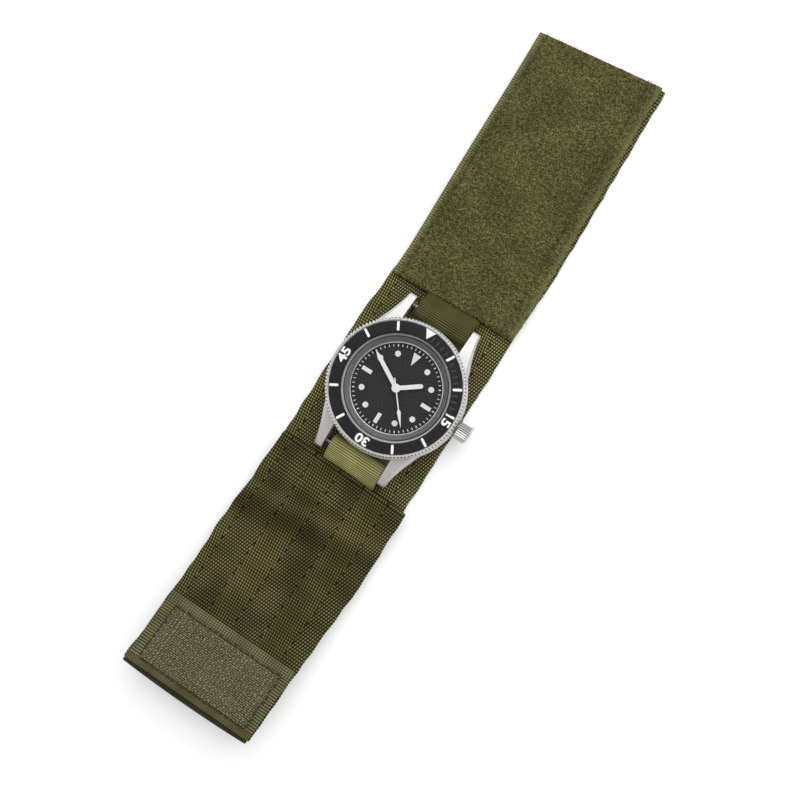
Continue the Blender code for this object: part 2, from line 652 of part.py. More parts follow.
BAR_HOLE_START = LUG_GAP / 2 - OVERRUN
BAR_HOLE_END = LUG_GAP / 2 + BAR_TIP_LENGTH + GAP
for side_x in (-1, 1):
    for side_y in (-1, 1):
        hole = place(
            f"bar_hole_cutter_{side_x}_{side_y}",
            turned(disc_profile(BAR_TIP_RADIUS + GAP, BAR_HOLE_START, BAR_HOLE_END), PIN_COUNT, "X",
                   (0, BAR_PLACE * side_y, BAR_HEIGHT)),
            (0, BAR_PLACE * side_y, BAR_HEIGHT), steel)
        if side_x < 0:
            hole.rotation_euler.z = math.pi
        cut(case, hole)

bore = place(
    "case_bore_cutter",
    turned([(0, CASE_FLOOR - OVERRUN), (BACK_BORE_RADIUS, CASE_FLOOR - OVERRUN),
            (BACK_BORE_RADIUS, BACK_BORE_TOP), (CASE_BORE_RADIUS, BACK_BORE_TOP),
            (CASE_BORE_RADIUS, CRYSTAL_SEAT), (CRYSTAL_BORE_RADIUS, CRYSTAL_SEAT),
            (CRYSTAL_BORE_RADIUS, NECK_TOP + OVERRUN), (0, NECK_TOP + OVERRUN)]),
    (0, 0, 0), steel)
cut(case, bore)
tube_hole = place(
    "tube_hole_cutter",
    turned(disc_profile(TUBE_RADIUS + GAP, CASE_BORE_RADIUS - OVERRUN, CASE_RADIUS + OVERRUN),
           SMALL_COUNT, "X", (0, 0, STEM_HEIGHT)),
    (0, 0, STEM_HEIGHT), steel)
cut(case, tube_hole)
BAR_SHOULDER = LUG_GAP / 2 - GAP
BAR_END = LUG_GAP / 2 + BAR_TIP_LENGTH
BAR_GROOVE = BAR_RADIUS / 2
bar_profile = [
    (0, -BAR_END), (BAR_TIP_RADIUS, -BAR_END), (BAR_TIP_RADIUS, -BAR_SHOULDER), (BAR_RADIUS, -BAR_SHOULDER),
    (BAR_RADIUS, -BAR_SHOULDER + BAR_GROOVE), (BAR_TIP_RADIUS, -BAR_SHOULDER + BAR_GROOVE),
    (BAR_TIP_RADIUS, -BAR_SHOULDER + BAR_RADIUS), (BAR_RADIUS, -BAR_SHOULDER + BAR_RADIUS),
]
bar_profile += [(r, -h) for r, h in reversed(bar_profile)]
for label, side_y in (("upper", 1), ("lower", -1)):
    place(f"spring_bar_{label}", turned(bar_profile, PIN_COUNT, "X", (0, BAR_PLACE * side_y, BAR_HEIGHT)),
          (0, BAR_PLACE * side_y, BAR_HEIGHT), steel, parent=case, smooth=30)

# Case back
BACK_POCKET_RADIUS = BACK_NECK_RADIUS - BACK_NECK_WALL
back = place(
    "case_back",
    turned([(0, BACK_FLOOR), (BACK_RADIUS - GAP, BACK_FLOOR), (BACK_RADIUS, BACK_FLOOR + GAP),
            (BACK_RADIUS, BACK_TOP), (BACK_NECK_RADIUS, BACK_TOP), (BACK_NECK_RADIUS, BACK_NECK_TOP),
            (BACK_POCKET_RADIUS, BACK_NECK_TOP), (BACK_POCKET_RADIUS, BACK_TOP), (0, BACK_TOP)]),
    (0, 0, BACK_FLOOR), steel, parent=case, smooth=30)
for i in range(BACK_NOTCH_COUNT):
    angle = math.tau * i / BACK_NOTCH_COUNT
    half = BACK_NOTCH_WIDTH / 2
    start = BACK_RADIUS - BACK_NOTCH_DEPTH
    end = BACK_RADIUS + OVERRUN
    corners = [(start, -half), (end, -half), (end, half), (start, half)]
    notch = place(
        f"notch_cutter_{i + 1}",
        prism(corners, BACK_FLOOR - OVERRUN, BACK_FLOOR + BACK_THICK / 2, angle), (0, 0, 0), steel)
    cut(back, notch)

rubber = material("rubber", RUBBER, 0.7)
BACK_GASKET_RADIUS = CASE_BORE_RADIUS + GAP
place("case_back_gasket",
      turned(ring_profile(BACK_GASKET_RADIUS, BACK_GASKET_RADIUS + BACK_GASKET_WIDTH, BACK_GASKET_FLOOR,
                          BACK_GASKET_FLOOR + BACK_GASKET_THICK), RING_COUNT),
      (0, 0, BACK_GASKET_FLOOR), rubber, parent=case, smooth=30)

# Bezel with its coin edge
bezel = place(
    "bezel_ring",
    toothed([(BEZEL_RADIUS - BEZEL_CHAMFER, BEZEL_FLOOR, 0), (BEZEL_RADIUS, BEZEL_FLOOR + BEZEL_CHAMFER, 1),
             (BEZEL_RADIUS, BEZEL_TOP - BEZEL_CHAMFER, 1), (BEZEL_RADIUS - BEZEL_CHAMFER, BEZEL_TOP, 0)],
            BEZEL_TOOTH_COUNT, BEZEL_TOOTH_DEPTH),
    (0, 0, BEZEL_FLOOR), steel, parent=case)
CLICK_RECESS_TOP = BEZEL_FLOOR + CLICK_RING_THICK + GAP
bezel_bore = place(
    "bezel_bore_cutter",
    turned([(0, BEZEL_FLOOR - OVERRUN), (CLICK_RING_RADIUS + GAP, BEZEL_FLOOR - OVERRUN),
            (CLICK_RING_RADIUS + GAP, CLICK_RECESS_TOP), (BEZEL_BORE_RADIUS, CLICK_RECESS_TOP),
            (BEZEL_BORE_RADIUS, BEZEL_PLATE_FLOOR), (CRYSTAL_RADIUS + GAP + GAP, BEZEL_PLATE_FLOOR),
            (CRYSTAL_RADIUS + GAP + GAP, BEZEL_PLATE_TOP), (BEZEL_RECESS_RADIUS, BEZEL_PLATE_TOP),
            (BEZEL_RECESS_RADIUS, BEZEL_TOP + OVERRUN), (0, BEZEL_TOP + OVERRUN)]),
    (0, 0, 0), steel)
cut(bezel, bezel_bore)

place("bezel_click_ring",
      turned(ring_profile(BEZEL_BORE_RADIUS, CLICK_RING_RADIUS, BEZEL_FLOOR, BEZEL_FLOOR + CLICK_RING_THICK),
             RING_COUNT),
      (0, 0, BEZEL_FLOOR), material("spring_steel", STEEL, 0.45, 1.0), parent=case, smooth=30)
insert_edge = INSERT_THICK / 4
place("bezel_insert",
      turned([(INSERT_INNER_RADIUS, INSERT_FLOOR), (INSERT_OUTER_RADIUS, INSERT_FLOOR),
              (INSERT_OUTER_RADIUS, INSERT_FLOOR + INSERT_THICK - insert_edge),
              (INSERT_OUTER_RADIUS - insert_edge, INSERT_FLOOR + INSERT_THICK),
              (INSERT_INNER_RADIUS + insert_edge, INSERT_FLOOR + INSERT_THICK),
              (INSERT_INNER_RADIUS, INSERT_FLOOR + INSERT_THICK - insert_edge)]),
      (0, 0, INSERT_FLOOR), material("insert_black", BLACK, 0.15), parent=bezel, smooth=30)

# Crystal, its gasket and the rehaut
crystal_profile = [(0, CRYSTAL_FLOOR), (CRYSTAL_RADIUS, CRYSTAL_FLOOR), (CRYSTAL_RADIUS, CRYSTAL_EDGE_TOP)]
for i in range(1, 5):
    share = i / 4
    crystal_profile.append((CRYSTAL_RADIUS * (1 - share),
                            CRYSTAL_EDGE_TOP + CRYSTAL_DOME * (1 - (1 - share) ** 2)))
crystal_glass = material("crystal_glass", WHITE, 0.02, 0.0, 0.15)
place("crystal", turned(crystal_profile), (0, 0, CRYSTAL_FLOOR), crystal_glass, parent=case, smooth=30)
CRYSTAL_GASKET_FLOOR = CRYSTAL_SEAT + GAP
place("crystal_gasket",
      turned(ring_profile(CRYSTAL_RADIUS + GAP, CRYSTAL_GASKET_RADIUS, CRYSTAL_GASKET_FLOOR,
                          CRYSTAL_GASKET_FLOOR + CRYSTAL_GASKET_HEIGHT), RING_COUNT),
      (0, 0, CRYSTAL_GASKET_FLOOR), material("gasket_white", WHITE, 0.5), parent=case, smooth=30)
place("rehaut",
      turned([(REHAUT_FOOT_RADIUS, REHAUT_FLOOR), (REHAUT_RADIUS, REHAUT_FLOOR), (REHAUT_RADIUS, REHAUT_TOP),
              (REHAUT_RADIUS - REHAUT_LIP, REHAUT_TOP), (REHAUT_FOOT_RADIUS, REHAUT_FLOOR + REHAUT_LIP)]),
      (0, 0, REHAUT_FLOOR), material("rehaut_grey", (0.35, 0.36, 0.37), 0.4, 0.8), parent=case, smooth=30)

# Dial and markers
HUB_BORE = ARBOR_RADIUS + GAP
dial = place("dial", turned(ring_profile(HUB_BORE, DIAL_RADIUS, DIAL_FLOOR, DIAL_TOP)), (0, 0, DIAL_FLOOR),
             material("dial_black", BLACK, 0.5), parent=case, smooth=30)

lume = material("lume_white", WHITE, 0.6)
MARK_FLOOR = DIAL_TOP - DIAL_THICK / 2
MARK_TOP = DIAL_TOP + MARK_THICK
marks = bmesh.new()
for hour in range(12):
    turn = math.tau * hour / 12
    if hour == 0:
        outline = [(-TRIANGLE_WIDTH / 2, TRIANGLE_BASE_RADIUS), (0, TRIANGLE_TIP_RADIUS),
                   (TRIANGLE_WIDTH / 2, TRIANGLE_BASE_RADIUS)]
    elif hour % 3 == 0:
        across, along = BAR_MARK_WIDTH / 2, BAR_MARK_LENGTH / 2
        outline = [(-across, MARK_CIRCLE - along), (across, MARK_CIRCLE - along),
                   (across, MARK_CIRCLE + along), (-across, MARK_CIRCLE + along)]
    else:
        outline = [(DOT_RADIUS * math.cos(math.tau * i / SMALL_COUNT),
                    MARK_CIRCLE + DOT_RADIUS * math.sin(math.tau * i / SMALL_COUNT)) for i in range(SMALL_COUNT)]
    mark = prism(outline, MARK_FLOOR, MARK_TOP, turn)
    part = bpy.data.meshes.new("mark")
    mark.to_mesh(part)
    mark.free()
    marks.from_mesh(part)
    bpy.data.meshes.remove(part)
cut(dial, place("marker_forms", marks, (0, 0, MARK_FLOOR), lume), "UNION")


# Hands
def hand_outline(points, hub_radius):
    """The right side of a hand from its hub out to its tip, mirrored, and closed round the hub."""
    half = points[0][0]
    foot = math.asin(half / hub_radius)
    points = [(half, hub_radius * math.cos(foot))] + points[1:]
    arc = []
    steps = 16
    for i in range(steps + 1):
        angle = foot + (math.tau - 2 * foot) * i / steps
        arc.append((hub_radius * math.sin(angle), hub_radius * math.cos(angle)))
    left = [(-x, y) for x, y in points if x > 0]
    tip = [p for p in points if p[0] == 0]
    right = [p for p in points if p[0] > 0]
    return left + tip + list(reversed(right)) + arc[1:-1]


def hand(name, outline, floor, turn, made_of, bored):
    made = place(name, prism(outline, floor, floor + HAND_THICK, turn), (0, 0, floor), made_of, parent=case)
    if bored:
        cutter = place(f"{name}_bore_cutter",
                       turned(disc_profile(HUB_BORE, floor - FINE_GAP / 2, floor + HAND_THICK + FINE_GAP / 2),
                              SMALL_COUNT),
                       (0, 0, 0), made_of)
        cut(made, cutter)
    return made


hand_white = material("hand_white", WHITE, 0.45)
HUB_RADIUS = HUB_BORE + HUB_WALL
HOUR_FLOOR = DIAL_TOP + HAND_LIFT
MINUTE_FLOOR = HOUR_FLOOR + HAND_THICK + FINE_GAP
SECONDS_FLOOR = MINUTE_FLOOR + HAND_THICK + FINE_GAP
hour_half = HOUR_HAND_WIDTH / 2
hour_points = [(hour_half, 0), (hour_half, HOUR_HAND_LENGTH - hour_half),
               (hour_half * 0.7, HOUR_HAND_LENGTH - hour_half * 0.3), (0, HOUR_HAND_LENGTH)]
minute_half = MINUTE_HAND_WIDTH / 2
minute_points = [(minute_half, 0), (minute_half, MINUTE_HAND_LENGTH - MINUTE_HAND_WIDTH * 2),
                 (0, MINUTE_HAND_LENGTH)]
shaft_half = SECONDS_SHAFT_WIDTH / 2
# Along the seconds hand: shares of its length where the lance starts and is widest
SECONDS_LANCE_SHARES = (0.53, 0.60)
seconds_points = [(shaft_half, 0), (shaft_half, SECONDS_HAND_LENGTH * SECONDS_LANCE_SHARES[0]),
                  (SECONDS_LANCE_WIDTH / 2, SECONDS_HAND_LENGTH * SECONDS_LANCE_SHARES[1]),
                  (0, SECONDS_HAND_LENGTH)]
hand("hour_hand", hand_outline(hour_points, HUB_RADIUS), HOUR_FLOOR, HOUR_HAND_TURN, hand_white, True)
hand("minute_hand", hand_outline(minute_points, HUB_RADIUS), MINUTE_FLOOR, MINUTE_HAND_TURN, hand_white, True)
seconds_outline = hand_outline(seconds_points, HUB_RADIUS)
lowest = min(range(len(seconds_outline)), key=lambda i: seconds_outline[i][1])
tail_top = seconds_outline[lowest][1]
seconds_outline[lowest:lowest + 1] = [(shaft_half, tail_top), (shaft_half, -SECONDS_TAIL_LENGTH),
                                      (-shaft_half, -SECONDS_TAIL_LENGTH), (-shaft_half, tail_top)]
hand("seconds_hand", seconds_outline, SECONDS_FLOOR, SECONDS_HAND_TURN, hand_white, False)

ARBOR_FLOOR = MOVEMENT_TOP - ARBOR_DEPTH
place("hand_arbor", turned(disc_profile(ARBOR_RADIUS, ARBOR_FLOOR, SECONDS_FLOOR - FINE_GAP), PIN_COUNT),
      (0, 0, ARBOR_FLOOR), steel, parent=case, smooth=30)

# Movement, holder and cell
brass = material("brass", BRASS, 0.35, 1.0)
movement_edge = GAP
movement = place(
    "movement",
    turned([(0, MOVEMENT_FLOOR), (MOVEMENT_RADIUS - movement_edge, MOVEMENT_FLOOR),
            (MOVEMENT_RADIUS, MOVEMENT_FLOOR + movement_edge), (MOVEMENT_RADIUS, MOVEMENT_TOP),
            (0, MOVEMENT_TOP)], RING_COUNT),
    (0, 0, MOVEMENT_FLOOR), brass, parent=case, smooth=30)
cut(movement, place(
    "arbor_hole_cutter",
    turned(disc_profile(HUB_BORE, ARBOR_FLOOR - GAP, MOVEMENT_TOP + OVERRUN), SMALL_COUNT),
    (0, 0, 0), brass))
cell_floor = MOVEMENT_FLOOR + FINE_GAP
cut(movement, place(
    "cell_pocket_cutter",
    turned(disc_profile(CELL_RADIUS + GAP, MOVEMENT_FLOOR - OVERRUN, cell_floor + CELL_THICK + GAP),
           SMALL_COUNT, "Z", (0, -CELL_OFFSET, 0)),
    (0, 0, 0), brass))
place("battery_cell", turned(disc_profile(CELL_RADIUS, cell_floor, cell_floor + CELL_THICK), SMALL_COUNT, "Z",
                             (0, -CELL_OFFSET, 0)),
      (0, -CELL_OFFSET, cell_floor), steel, parent=case, smooth=30)
holder = place(
    "movement_holder",
    turned(ring_profile(HOLDER_RADIUS, HOLDER_RADIUS + HOLDER_WALL, MOVEMENT_TOP - HOLDER_HEIGHT, MOVEMENT_TOP),
           RING_COUNT),
    (0, 0, MOVEMENT_TOP), material("holder_white", (0.7, 0.7, 0.68), 0.6), parent=case, smooth=30)
STEM_INNER_END = MOVEMENT_RADIUS - STEM_ENTRY
stem_hole_profile = disc_profile(STEM_RADIUS + GAP, STEM_INNER_END - GAP, CASE_BORE_RADIUS)
for target in (movement, holder):
    stem_hole = place(
        f"{target.name}_stem_cutter", turned(stem_hole_profile, SMALL_COUNT, "X", (0, 0, STEM_HEIGHT)),
        (0, 0, STEM_HEIGHT), brass)
    cut(target, stem_hole)

# Crown, tube and stem
TUBE_BORE = TUBE_RADIUS - TUBE_WALL
TUBE_START = CASE_BORE_RADIUS + TUBE_ENTRY
TUBE_END = CROWN_START + CROWN_BORE_DEPTH - CROWN_GASKET_THICK - GAP - GAP
place("crown_tube", turned(ring_profile(TUBE_BORE, TUBE_RADIUS, TUBE_START, TUBE_END), SMALL_COUNT, "X",
                           (0, 0, STEM_HEIGHT)),
      (TUBE_START, 0, STEM_HEIGHT), steel, parent=case, smooth=30)
crown = place(
    "crown",
    toothed([(CROWN_RADIUS - CROWN_TOOTH_DEPTH, CROWN_START, 0),
             (CROWN_RADIUS, CROWN_START + CROWN_TOOTH_DEPTH, 1),
             (CROWN_RADIUS, CROWN_END - CROWN_DOME - CROWN_TOOTH_DEPTH, 1),
             (CROWN_RADIUS - CROWN_TOOTH_DEPTH, CROWN_END - CROWN_DOME, 0),
             (CROWN_RADIUS - CROWN_TOOTH_DEPTH - CROWN_DOME, CROWN_END, 0)],
            CROWN_TOOTH_COUNT, CROWN_TOOTH_DEPTH, "X", (0, 0, STEM_HEIGHT)),
    (CROWN_START, 0, STEM_HEIGHT), steel, parent=case)
CROWN_BORE_END = CROWN_START + CROWN_BORE_DEPTH
CROWN_SEAT_END = CROWN_BORE_END + CROWN_SEAT_DEPTH
cut(crown, place(
    "crown_bore_cutter",
    turned([(0, CROWN_START - OVERRUN), (TUBE_RADIUS + GAP, CROWN_START - OVERRUN),
            (TUBE_RADIUS + GAP, CROWN_BORE_END), (STEM_RADIUS + GAP, CROWN_BORE_END),
            (STEM_RADIUS + GAP, CROWN_SEAT_END), (0, CROWN_SEAT_END)],
           SMALL_COUNT, "X", (0, 0, STEM_HEIGHT)),
    (CROWN_START, 0, STEM_HEIGHT), steel))
place("crown_gasket",
      turned(ring_profile(STEM_RADIUS + GAP, TUBE_RADIUS, CROWN_BORE_END - GAP - CROWN_GASKET_THICK,
                          CROWN_BORE_END - GAP), SMALL_COUNT, "X", (0, 0, STEM_HEIGHT)),
      (CROWN_BORE_END, 0, STEM_HEIGHT), rubber, parent=crown, smooth=30)
place("winding_stem",
      turned(disc_profile(STEM_RADIUS, STEM_INNER_END, CROWN_SEAT_END - GAP), PIN_COUNT, "X",
             (0, 0, STEM_HEIGHT)),
      (STEM_INNER_END, 0, STEM_HEIGHT), steel, parent=crown, smooth=30)
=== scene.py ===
# %% [markdown]
# # A webbing wrist strap and its dive watch
#
# The strap is made of several layers of cloth that are sewn together, and a watch rides on a narrow band
# over them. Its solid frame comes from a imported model, in metres, and this script dresses that frame: it
# lays cloth over the plain fabric solids, gives every metal and glass piece a finish, and lights the whole
# as in a small studio.

import math
import random

import bmesh
import bpy
from mathutils import Matrix, Vector, noise


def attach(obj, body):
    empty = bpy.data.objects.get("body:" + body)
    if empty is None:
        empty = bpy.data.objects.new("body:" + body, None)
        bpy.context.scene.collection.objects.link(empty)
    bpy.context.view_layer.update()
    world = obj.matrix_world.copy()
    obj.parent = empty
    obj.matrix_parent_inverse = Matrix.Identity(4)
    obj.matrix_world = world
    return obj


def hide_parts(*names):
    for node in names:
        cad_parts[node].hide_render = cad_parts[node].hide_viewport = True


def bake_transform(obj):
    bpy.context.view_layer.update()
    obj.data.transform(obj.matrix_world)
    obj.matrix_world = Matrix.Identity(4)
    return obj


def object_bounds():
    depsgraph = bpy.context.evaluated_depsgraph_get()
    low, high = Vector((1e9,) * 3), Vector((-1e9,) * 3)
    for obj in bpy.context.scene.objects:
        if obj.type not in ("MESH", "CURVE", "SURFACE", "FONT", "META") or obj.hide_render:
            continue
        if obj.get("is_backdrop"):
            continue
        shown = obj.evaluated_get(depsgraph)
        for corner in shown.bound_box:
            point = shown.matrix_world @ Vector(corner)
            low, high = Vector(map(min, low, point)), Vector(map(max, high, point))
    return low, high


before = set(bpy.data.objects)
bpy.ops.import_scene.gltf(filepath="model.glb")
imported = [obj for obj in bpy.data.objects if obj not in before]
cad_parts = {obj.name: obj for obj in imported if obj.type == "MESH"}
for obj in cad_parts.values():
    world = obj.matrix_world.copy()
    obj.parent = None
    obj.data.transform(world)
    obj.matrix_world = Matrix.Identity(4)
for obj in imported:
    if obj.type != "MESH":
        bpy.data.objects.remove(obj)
low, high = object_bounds()
frame_box = [list(low), list(high)]

# %% [markdown]
# ## Places that the cloth follows
#
# The cloth must lie where its solids lie, so the few lengths that shape them are named here again. The
# strap runs along Y, with the watch at zero. Real webbing never lies quite straight: from above, both ends
# of this strap drift a little to the left, and the long flap is widest a third of the way down. Those
# small drifts are functions of y.

# %% Lengths along the strap
MM = 0.001
BAND_LEFT, BAND_RIGHT = -21.3 * MM, 20.7 * MM
BAND_THICK = 1.2 * MM
LOWER_HINGE = 34 * MM
BAND_LOWER_END = 106.2 * MM
BAND_UPPER_END = 113 * MM
CURL_START, CURL_LENGTH, CURL_RISE = -LOWER_HINGE, 72.2 * MM, 9.43 * MM
END_SKEW = 3.9 * MM
SKEW_START = 100 * MM
LAYER_GAP = 0.3 * MM
UPPER_HINGES = [37.5 * MM, 49.58 * MM, 61.66 * MM, 73.74 * MM]
LOWER_HINGES = [-LOWER_HINGE, -48 * MM, -62 * MM, -76 * MM]


def smoothstep(t):
    t = min(1.0, max(0.0, t))
    return t * t * (3 - 2 * t)


def rise(y, start, reach):
    """From 0 at start to 1 a reach further on, smoothly."""
    return smoothstep((y - start) / reach)


def band_floor(y):
    """Height of the base band's underside at y: flat, then curled up towards the lower end."""
    return CURL_RISE * (max(0.0, CURL_START - y) / CURL_LENGTH) ** 1.5


def drift(y):
    """How far the strap's middle lies to the left at y."""
    upper = max(0.0, y - 28 * MM) / (85 * MM)
    lower = max(0.0, -33 * MM - y) / (70 * MM)
    return -2.6 * MM * upper ** 1.2 - 2.3 * MM * lower ** 0.95


def end_skew(y):
    """The slant of the upper end."""
    return END_SKEW * rise(y, SKEW_START, BAND_UPPER_END - SKEW_START)


print("lower end lifts", round(band_floor(-BAND_LOWER_END) / MM, 1), "mm, ends drift",
      round(drift(BAND_UPPER_END) / MM, 1), "and", round(drift(-BAND_LOWER_END) / MM, 1), "mm")

# %% [markdown]
# ## Camera
#
# The photograph looks almost straight down. The camera's place, its slant and its lens were worked out
# from the corners of the strap, so the object stands in the frame as it does in the picture.

# %% Camera
EYE = Vector((30.1, -6.9, 289.7)) * MM
GAZE = Vector((-0.0973, 0.0167, -0.9951)).normalized()
UPWARD = Vector((-0.5365, 0.8413, 0.0666))
camera_data = bpy.data.cameras.new("photo_camera")
camera_data.lens = 44.9
camera_data.sensor_width = 36.0
camera_data.clip_start = 0.01
camera = bpy.data.objects.new("photo_camera", camera_data)
bpy.context.collection.objects.link(camera)
side = GAZE.cross(UPWARD).normalized()
turn = Matrix((side, side.cross(GAZE), -GAZE)).transposed()
camera.matrix_world = Matrix.Translation(EYE) @ turn.to_4x4()
bpy.context.scene.camera = camera
print("camera height", round(EYE.z / MM), "mm, lens", camera_data.lens)

# %% [markdown]
# ## Small helpers
#
# Every new piece ends in the same way: its bmesh becomes a mesh, and the mesh is shown as an object. A
# finish is a Principled shader with a few texture nodes in front of it. The helpers for finishes add one
# or two nodes at a time and return the output, so that a pattern reads like a sum. A socket knows its tree,
# so a new node goes where its inputs come from. Cloth patterns read the piece's own map, in metres, so the
# weave stays in the cloth when the strap bends.

# %% From a bmesh to an object
def mesh_from(bm, name):
    mesh = bpy.data.meshes.new(name)
    bm.to_mesh(mesh)
    bm.free()
    return mesh


def object_from(mesh, name, *finishes):
    for used in finishes:
        mesh.materials.append(used)
    made = bpy.data.objects.new(name, mesh)
    bpy.context.collection.objects.link(made)
    return made


print("object helpers ready")

# %% A finish and its sums
CLOTH_MAP = "cloth"


def finish(name, colour, roughness, metallic=0.0, shine=0.5):
    """A new material with a Principled shader set to plain values."""
    made = bpy.data.materials.new(name)
    made.use_nodes = True
    shader = made.node_tree.nodes["Principled BSDF"]
    shader.inputs["Base Color"].default_value = (*colour, 1)
    shader.inputs["Roughness"].default_value = roughness
    shader.inputs["Metallic"].default_value = metallic
    shader.inputs["Specular IOR Level"].default_value = shine
    return made, made.node_tree, shader


def feed(socket, value):
    """Puts a number, a colour or another node's output into a socket."""
    if isinstance(value, bpy.types.NodeSocket):
        socket.id_data.links.new(value, socket)
    elif socket.type == "RGBA":
        socket.default_value = (*value, 1)
    else:
        socket.default_value = value


def fed_node(kind, inputs, **settings):
    """A node with its settings and inputs, in the tree that its inputs come from. Returns its outputs."""
    tree = next(value.id_data for value in inputs.values() if isinstance(value, bpy.types.NodeSocket))
    node = tree.nodes.new("ShaderNode" + kind)
    for setting, value in settings.items():
        setattr(node, setting, value)
    for socket, value in inputs.items():
        feed(node.inputs[socket], value)
    return node.outputs


def calc(operation, *values):
    return fed_node("Math", dict(enumerate(values)), operation=operation)[0]


def times(first, second):
    return calc("MULTIPLY", first, second)


def plus(first, second):
    return calc("ADD", first, second)


def minus(first, second):
    return calc("SUBTRACT", first, second)


def over(first, second):
    return calc("DIVIDE", first, second)


def fraction(value):
    """What a value has past its last whole number."""
    return calc("FRACT", value)


def apart(first, second):
    """How far two values lie apart."""
    return calc("ABSOLUTE", minus(first, second))


def wave(value, scale):
    """The sine of a value times a scale."""
    return calc("SINE", times(value, scale))


print("sums ready")

# %% Mixing, spots and places
def between(value, low, high, start=0.0, end=1.0):
    """A smooth change from start to end as value goes from low to high."""
    given = dict(enumerate((value, low, high, start, end)))
    return fed_node("MapRange", given, interpolation_type="SMOOTHSTEP")["Result"]


def blended(share, first, second):
    """A colour mixed from two colours."""
    return fed_node("Mix", {0: share, 6: first, 7: second}, data_type="RGBA")[2]


def cloudy(where, scale, detail=2.0):
    """Soft random spots."""
    return fed_node("TexNoise", {"Vector": where, "Scale": scale, "Detail": detail})["Fac"]


def stretched(where, scale):
    """The same place, scaled along each axis."""
    return fed_node("Mapping", {"Vector": where, "Scale": scale})["Vector"]


def split(where):
    """The three coordinates of a place."""
    parts = fed_node("SeparateXYZ", {0: where})
    return parts["X"], parts["Y"], parts["Z"]


def cloth_place(tree):
    """The cloth's own place: across and along it, in metres."""
    node = tree.nodes.new("ShaderNodeUVMap")
    node.uv_map = CLOTH_MAP
    across, along, _ = split(node.outputs["UV"])
    return node.outputs["UV"], across, along


def solid_place(tree):
    return tree.nodes.new("ShaderNodeTexCoord").outputs["Object"]


def dimmed(colour, amount):
    """A colour times a number."""
    return fed_node("VectorMath", {0: colour, "Scale": amount}, operation="SCALE")["Vector"]


def paint(shader, colour):
    feed(shader.inputs["Base Color"], colour)


def relief(shader, height, distance):
    """A bump of a real height in metres."""
    bump = fed_node("Bump", {"Height": height, "Strength": 1.0, "Distance": distance})
    feed(shader.inputs["Normal"], bump["Normal"])


def tinted(colour, amount):
    return tuple(min(1.0, c * amount) for c in colour)


print("finish helpers ready")

# %% [markdown]
# ## Floor and light
#
# Product pictures are taken on a white sweep under broad soft lamps. The floor is a wide white sheet. For
# the camera its own material adds a little brightness, so it reads as white and still keeps the soft
# shadow. One broad lamp stands beyond the strap's upper end, so the only shadow to be seen lies below the
# raised lower end, as in the photograph. The sky around gives the even light that steel needs to look
# pale.

# %% Floor
FLOOR_REACH, FLOOR_GAP = 3.0, 0.05 * MM
PAPER_WHITE, PAPER_LIFT = 0.93, 0.20
floor_paper, tree, shader = finish("floor_paper", (PAPER_WHITE, PAPER_WHITE, PAPER_WHITE), 0.9, shine=0.0)
shader.inputs["Emission Color"].default_value = (1, 1, 1, 1)
rays = tree.nodes.new("ShaderNodeLightPath")
seen = rays.outputs["Is Camera Ray"]
for other in ("Is Glossy Ray", "Is Transmission Ray"):
    seen = calc("MAXIMUM", seen, rays.outputs[other])
feed(shader.inputs["Emission Strength"], times(seen, PAPER_LIFT))
bm = bmesh.new()
bmesh.ops.create_grid(bm, x_segments=1, y_segments=1, size=FLOOR_REACH)
bmesh.ops.translate(bm, verts=bm.verts, vec=(0, 0, frame_box[0][2] - FLOOR_GAP))
floor = object_from(mesh_from(bm, "floor"), "floor", floor_paper)
floor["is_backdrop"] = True
print("floor at", round(floor.data.vertices[0].co.z / MM, 2), "mm")

# %% Lamps and sky
KEY_PLACE, KEY_SIZE, KEY_WATTS = (0.02, 0.60, 0.72), 0.95, 5.9
SKY_STRENGTH = 0.66
scene = bpy.context.scene
scene.view_settings.view_transform = "Standard"


def soft_lamp(name, place, size, watts):
    """A square lamp that looks at the watch."""
    data = bpy.data.lights.new(name, "AREA")
    data.size = size
    data.energy = watts
    lamp = bpy.data.objects.new(name, data)
    lamp.location = place
    lamp.rotation_euler = (-Vector(place)).to_track_quat("-Z", "Y").to_euler()
    bpy.context.collection.objects.link(lamp)
    return lamp


soft_lamp("key_lamp", KEY_PLACE, KEY_SIZE, KEY_WATTS)
world = bpy.data.worlds.new("studio_sky")
scene.world = world
world.use_nodes = True
sky = world.node_tree.nodes["Background"]
sky.inputs["Color"].default_value = (1, 1, 1, 1)
sky.inputs["Strength"].default_value = SKY_STRENGTH

# %% [markdown]
# ## Webbing finish
#
# In this heavy webbing only the raised parts of the yarns catch the light, as small pale beads in a dark
# ground. The beads stand in rows across the strap. Each row is shifted against the last, by 0.17 of a bead
# one way in one stripe and by 0.30 of a bead the other way in the next, and that gives the cloth its broad
# lengthwise stripes. Between two stripes runs a seam with a dark pinhole every few rows. The pattern is a
# sheared grid, so two remainders and two sines are enough to draw it.

# %% Webbing finish
BEAD_PITCH = 0.79 * MM
ROW_PITCH = 0.86 * MM
STRIPE = 8.37 * MM
PINHOLE_PITCH = 3.4 * MM
LEAN_BACK, LEAN_CHANGE = 0.17, 0.47
CLOTH_SHINE = 0.03


